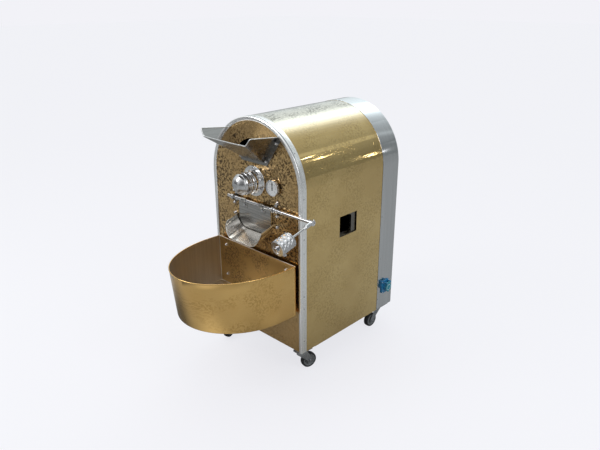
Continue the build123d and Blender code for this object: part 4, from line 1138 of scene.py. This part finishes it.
# ------------------------------------------------------------------------------------------------ casters
soften("base_frame", "paint", 0.6)
soften("base_pan", "steel", 0.3)
soften("caster_plates", "zinc", 0.6)
CASTERS = {"fr": (252.0, 32.0, 75.0), "fl": (-252.0, 32.0, -72.0), "rr": (252.0, 650.0, -92.0), "rl": (-252.0, 650.0, 250.0)}
TRAIL, ZA = 50.0, -85.0
for tag, (cx, cy, deg) in CASTERS.items():
    ca, sa = math.cos(math.radians(deg)), math.sin(math.radians(deg))

    def put(u, v, z):
        return (cx + u * ca - v * sa, cy + u * sa + v * ca, z)

    leg = rounded([(-25, -15.5, 1.0), (25, -15.5, 2.0), (39, -34, 16), (66, ZA + 4, 10), (61, -96, 9), (50, -100, 10), (39, -96, 9), (33, ZA + 6, 14), (-27, -24, 6)], True, 6)
    parts = []
    crown = rounded([(6.4, -20.3), (24.5, -20.3, 1.5), (28.0, -18.2, 1.5), (28.0, -16.4, 1.0), (26.5, -14.2, 1.5), (20.0, -14.2, 0.6), (18.5, -15.2, 0.6), (14.0, -15.2, 0.6), (12.5, -14.1, 0.6), (6.4, -14.1)], True, 4)
    parts.append(moved(lathe(crown, 56, loop=True), put))
    for s in (-1, 1):
        v0, v1 = (14.9, 18.0) if s > 0 else (-18.0, -14.9)
        parts.append(moved(plate(leg, v0, v1, 0.8), lambda a, b, h: put(a, h, b)))
        # stiffening bead pressed along the leg
        rib = [(-10 + 50 * k / 10, s * 18.0, -24.0 - 40.0 * (k / 10) ** 1.4) for k in range(11)]
        parts.append(moved(tube(rib, 1.3, 8), put))
        head = nut(4.3, 3.2, dome=False, segs=36)
        parts.append(moved(head, lambda p, q, h: put(TRAIL + p, s * (18.0 + h * 0.8), ZA + q)))
    axle = lathe([(0, -20.5), (4.9, -20.5), (4.9, 20.5), (0, 20.5)], 28)
    parts.append(moved(axle, lambda p, q, h: put(TRAIL + p, h, ZA + q)))
    make("fork_" + tag, join(*parts), "zinc", body="swivel_" + tag, replaces=["caster_fork_" + tag], sharp=34)

    hub = [(5.15, -14.0), (9.0, -14.0, 0.8), (11.0, -12.5, 0.8), (11.6, -7.0, 1.5), (14.0, -5.0, 2.0), (23.0, -4.4, 2.0), (26.5, -9.8, 1.2), (27.5, -11.0, 0.6), (31.0, -11.0, 0.4)]
    hub = rounded(hub + [(r[0], -r[1], *r[2:]) for r in reversed(hub)], True, 4)
    disc = moved(lathe(hub, 72, loop=True), lambda p, q, h: put(TRAIL + p, h, ZA + q))
    ribs = []
    for k in range(6):
        a = math.pi / 3 * k + 0.2
        for s in (-1, 1):
            o = rounded([(10.5, -1.3, 0.4), (25.0, -1.0, 0.4), (25.0, 1.0, 0.4), (10.5, 1.3, 0.4)], True, 2)
            h0, h1 = (4.0, 8.4) if s > 0 else (-8.4, -4.0)
            b = plate(o, h0, h1, 0.4)
            ribs.append(moved(b, lambda p, q, h: put(TRAIL + p * math.cos(a) - q * math.sin(a), h, ZA + p * math.sin(a) + q * math.cos(a))))
    make("hub_" + tag, join(disc, *ribs), "wheel", body="wheel_" + tag, replaces=["caster_wheel_" + tag], sharp=34)

    tread = rounded([(31.05, -11.0), (32.5, -12.6, 0.6), (35.0, -13.0, 0.8), (38.6, -11.4, 2.5), (39.6, -7.0, 3.0), (40.0, 0.0, 9.0), (39.6, 7.0, 3.0), (38.6, 11.4, 2.5), (35.0, 13.0, 0.8), (32.5, 12.6, 0.6), (31.05, 11.0)], True, 5)
    make("tyre_" + tag, moved(lathe(tread, 96, loop=True), lambda p, q, h: put(TRAIL + p, h, ZA + q)), "rubber", body="wheel_" + tag, replaces=["caster_tyre_" + tag], sharp=40)

# ------------------------------------------------------------------------------------------------ inside
for n, m in {
    "front_wall": "steel", "bulkhead": "steel", "inner_liner": "steel", "insulation": "wool", "front_bearing": "steel", "rear_bearing": "paint",
    "drum_shell": "drum", "drum_vanes": "drum", "drum_shaft": "drum", "drum_sprocket": "chain", "motor_sprocket": "chain", "drive_chain": "chain",
    "gearmotor": "motor", "motor_mount": "paint", "burner_tubes": "iron", "heat_shield": "steel",
}.items():
    soften(n, m, -1)

# ------------------------------------------------------------------------------------------------ stage
def floor_material():
    """Pale seamless floor: even to the eye with a soft shadow, and a calmer grey where metal mirrors it."""
    m = bpy.data.materials.new("floor")
    m.use_nodes = True
    t = m.node_tree
    t.nodes.clear()
    out = t.nodes.new("ShaderNodeOutputMaterial")
    seen = t.nodes.new("ShaderNodeAddShader")
    soft = t.nodes.new("ShaderNodeBsdfDiffuse")
    soft.inputs["Color"].default_value = (0.16, 0.16, 0.165, 1)
    glow = t.nodes.new("ShaderNodeEmission")
    glow.inputs["Color"].default_value = (0.955, 0.955, 1.0, 1)
    glow.inputs["Strength"].default_value = 0.78
    t.links.new(soft.outputs[0], seen.inputs[0])
    t.links.new(glow.outputs[0], seen.inputs[1])
    grey = t.nodes.new("ShaderNodeBsdfDiffuse")
    co = t.nodes.new("ShaderNodeTexCoord")
    level = None
    # shades of the hall floor: (centre x, y, inner and outer radius in metres, level)
    for fx, fy, r0, r1, v in ((0.0, 0.0, 90.0, 91.0, 0.42), (-2.3, -2.4, 0.7, 2.2, 0.32), (-1.5, -1.7, 0.1, 0.8, 0.26), (0.16, -0.86, 0.03, 0.40, 0.68), (-0.58, -0.55, 0.14, 0.62, 0.12), (0.72, -0.40, 0.05, 0.40, 0.34), (1.9, -1.7, 0.3, 1.5, 0.60), (-2.6, 0.2, 0.4, 1.8, 0.26), (1.1, 0.9, 0.3, 1.2, 0.42)):
        off = t.nodes.new("ShaderNodeVectorMath")
        off.operation = "DISTANCE"
        off.inputs[1].default_value = (fx, fy, 0.0)
        t.links.new(co.outputs["Object"], off.inputs[0])
        mr = t.nodes.new("ShaderNodeMapRange")
        mr.interpolation_type = "SMOOTHSTEP"
        mr.inputs["From Min"].default_value = r0
        mr.inputs["From Max"].default_value = r1
        mr.inputs["To Min"].default_value = 1.0
        mr.inputs["To Max"].default_value = 0.0
        t.links.new(off.outputs["Value"], mr.inputs["Value"])
        mx = t.nodes.new("ShaderNodeMix")
        mx.data_type = "FLOAT"
        t.links.new(mr.outputs[0], mx.inputs["Factor"])
        if level is None:
            mx.inputs[2].default_value = v
        else:
            t.links.new(level, mx.inputs[2])
        mx.inputs[3].default_value = v
        level = mx.outputs[0]
    t.links.new(level, grey.inputs["Color"])
    way = t.nodes.new("ShaderNodeLightPath")
    mix = t.nodes.new("ShaderNodeMixShader")
    t.links.new(way.outputs["Is Camera Ray"], mix.inputs[0])
    t.links.new(grey.outputs[0], mix.inputs[1])
    t.links.new(seen.outputs[0], mix.inputs[2])
    t.links.new(mix.outputs[0], out.inputs[0])
    return m


fm = bpy.data.meshes.new("floor")
fm.from_pydata([(-40, -40, 0), (40, -40, 0), (40, 40, 0), (-40, 40, 0)], [], [(0, 1, 2, 3)])
floor = bpy.data.objects.new("floor", fm)
fm.materials.append(floor_material())
scene.collection.objects.link(floor)

# Studio walls and ceiling: long strip panels above the machine, laid along its depth, darker towards the camera.
world = bpy.data.worlds.new("studio")
scene.world = world
world.use_nodes = True
wt = world.node_tree
wt.nodes.clear()


def wnode(kind, **props):
    n = wt.nodes.new(kind)
    for k, v in props.items():
        setattr(n, k, v)
    return n


def wmath(op, a, b=0.0, clamp=False):
    n = wnode("ShaderNodeMath", operation=op, use_clamp=clamp)
    for i, v in enumerate((a, b)):
        if isinstance(v, bpy.types.NodeSocket):
            wt.links.new(v, n.inputs[i])
        else:
            n.inputs[i].default_value = v
    return n.outputs[0]


def wramp(value, stops, peak):
    r = wnode("ShaderNodeValToRGB")
    e = r.color_ramp.elements
    while len(e) > 1:
        e.remove(e[-1])
    for k, (pos, level) in enumerate(stops):
        el = e[0] if k == 0 else e.new(pos)
        el.position = pos
        el.color = (level / peak, level / peak, level / peak, 1)
    wt.links.new(value, r.inputs[0])
    return wmath("MULTIPLY", r.outputs[0], peak)


wo = wnode("ShaderNodeOutputWorld")
wd = wnode("ShaderNodeTexCoord").outputs["Generated"]
ws = wnode("ShaderNodeSeparateXYZ")
wt.links.new(wd, ws.inputs[0])
dx, dy, dz = ws.outputs
round_y = wmath("DIVIDE", wmath("ARCTAN2", dz, dx), math.pi, True)
strips = wramp(round_y, [(0.0, 0.27), (0.11, 0.30), (0.21, 0.41), (0.235, 0.70), (0.25, 0.70), (0.27, 0.46), (0.34, 0.54), (0.45, 0.66), (0.51, 0.95), (0.58, 1.9), (0.64, 2.3), (0.69, 1.5), (0.75, 1.0), (0.92, 0.84), (1.0, 0.62)], 2.5)
front = wramp(wmath("MAXIMUM", dz, 0.0), [(0.0, 0.26), (0.10, 0.30), (0.30, 0.55), (0.62, 0.70), (1.0, 1.0)], 1.0)
# panels and gaps round the front half of the hall, lost towards the zenith
round_z = wmath("ADD", wmath("MULTIPLY", wmath("ARCTAN2", dx, wmath("MULTIPLY", dy, -1.0)), 0.5 / math.pi), 0.5)
booth = wramp(round_z, [(0.0, 1.0), (0.20, 1.0), (0.25, 1.7), (0.30, 1.7), (0.325, 0.5), (0.42, 0.35), (0.445, 1.4), (0.50, 1.6), (0.525, 0.5), (0.66, 0.35), (0.69, 1.6), (0.73, 2.6), (0.80, 2.6), (0.84, 1.2), (1.0, 1.0)], 2.0)
high = wnode("ShaderNodeMapRange", interpolation_type="SMOOTHSTEP")
wt.links.new(dz, high.inputs["Value"])
high.inputs["From Min"].default_value = 0.55
high.inputs["From Max"].default_value = 0.92
even = wnode("ShaderNodeMix", data_type="FLOAT")
wt.links.new(high.outputs[0], even.inputs["Factor"])
wt.links.new(booth, even.inputs[2])
even.inputs[3].default_value = 1.0
front = wmath("MULTIPLY", front, even.outputs[0])
turn = wnode("ShaderNodeMapRange", interpolation_type="SMOOTHSTEP")
wt.links.new(dy, turn.inputs["Value"])
turn.inputs["From Min"].default_value = -0.25
turn.inputs["From Max"].default_value = 0.20
pick = wnode("ShaderNodeMix", data_type="FLOAT")
wt.links.new(turn.outputs[0], pick.inputs["Factor"])
wt.links.new(front, pick.inputs[2])
wt.links.new(strips, pick.inputs[3])
room = wnode("ShaderNodeBackground")
tint = wnode("ShaderNodeMix", data_type="RGBA")
wt.links.new(turn.outputs[0], tint.inputs["Factor"])
tint.inputs[6].default_value = (0.985, 0.995, 1.0, 1)
tint.inputs[7].default_value = (0.93, 1.0, 1.0, 1)
wt.links.new(tint.outputs[2], room.inputs["Color"])
wt.links.new(pick.outputs[0], room.inputs["Strength"])
plain = wnode("ShaderNodeBackground")
plain.inputs["Color"].default_value = (0.955, 0.955, 1.0, 1)
plain.inputs["Strength"].default_value = 0.93
see = wnode("ShaderNodeLightPath")
both = wnode("ShaderNodeMixShader")
wt.links.new(see.outputs["Is Camera Ray"], both.inputs[0])
wt.links.new(room.outputs[0], both.inputs[1])
wt.links.new(plain.outputs[0], both.inputs[2])
wt.links.new(both.outputs[0], wo.inputs[0])


def softbox(name, at, target, size, size_y, power, color=(1, 1, 1)):
    li = bpy.data.lights.new(name, "AREA")
    li.shape = "RECTANGLE"
    li.size, li.size_y = size, size_y
    li.energy = power
    li.color = color
    ob = bpy.data.objects.new(name, li)
    ob.location = at
    ob.rotation_mode = "QUATERNION"
    ob.rotation_quaternion = (Vector(target) - Vector(at)).to_track_quat("-Z", "Y")
    ob.visible_camera = False
    scene.collection.objects.link(ob)
    return ob


softbox("key", (-1.9, -2.6, 3.2), (0, 0, 0.6), 1.6, 1.6, 42)
softbox("side", (3.4, 0.2, 2.8), (0, 0, 0.6), 1.2, 1.8, 24)
for i, at in enumerate(((3.67, 4.13, 3.59), (3.83, 4.32, 3.15), (3.99, 4.99, 1.59))):
    softbox("lamp_%d" % i, at, (0.2, 0.0, 1.05), 0.11, 0.09, 0.75)

cam_data = bpy.data.cameras.new("camera")
cam = bpy.data.objects.new("camera", cam_data)
scene.collection.objects.link(cam)
scene.camera = cam
cam_data.sensor_width = 36.0
cam_data.lens = 34.82
fwd = Vector((-0.6469, 0.6689, -0.3663)).normalized()
right = Vector((0.7201, 0.6940, -0.0042))
right = (right - fwd * right.dot(fwd)).normalized()
up = right.cross(fwd)
cam.matrix_world = Matrix((
    (right.x, up.x, -fwd.x, 1.8875),
    (right.y, up.y, -fwd.y, -1.849),
    (right.z, up.z, -fwd.z, 1.723),
    (0, 0, 0, 1),
))
cam_data.clip_start, cam_data.clip_end = 0.01, 200.0
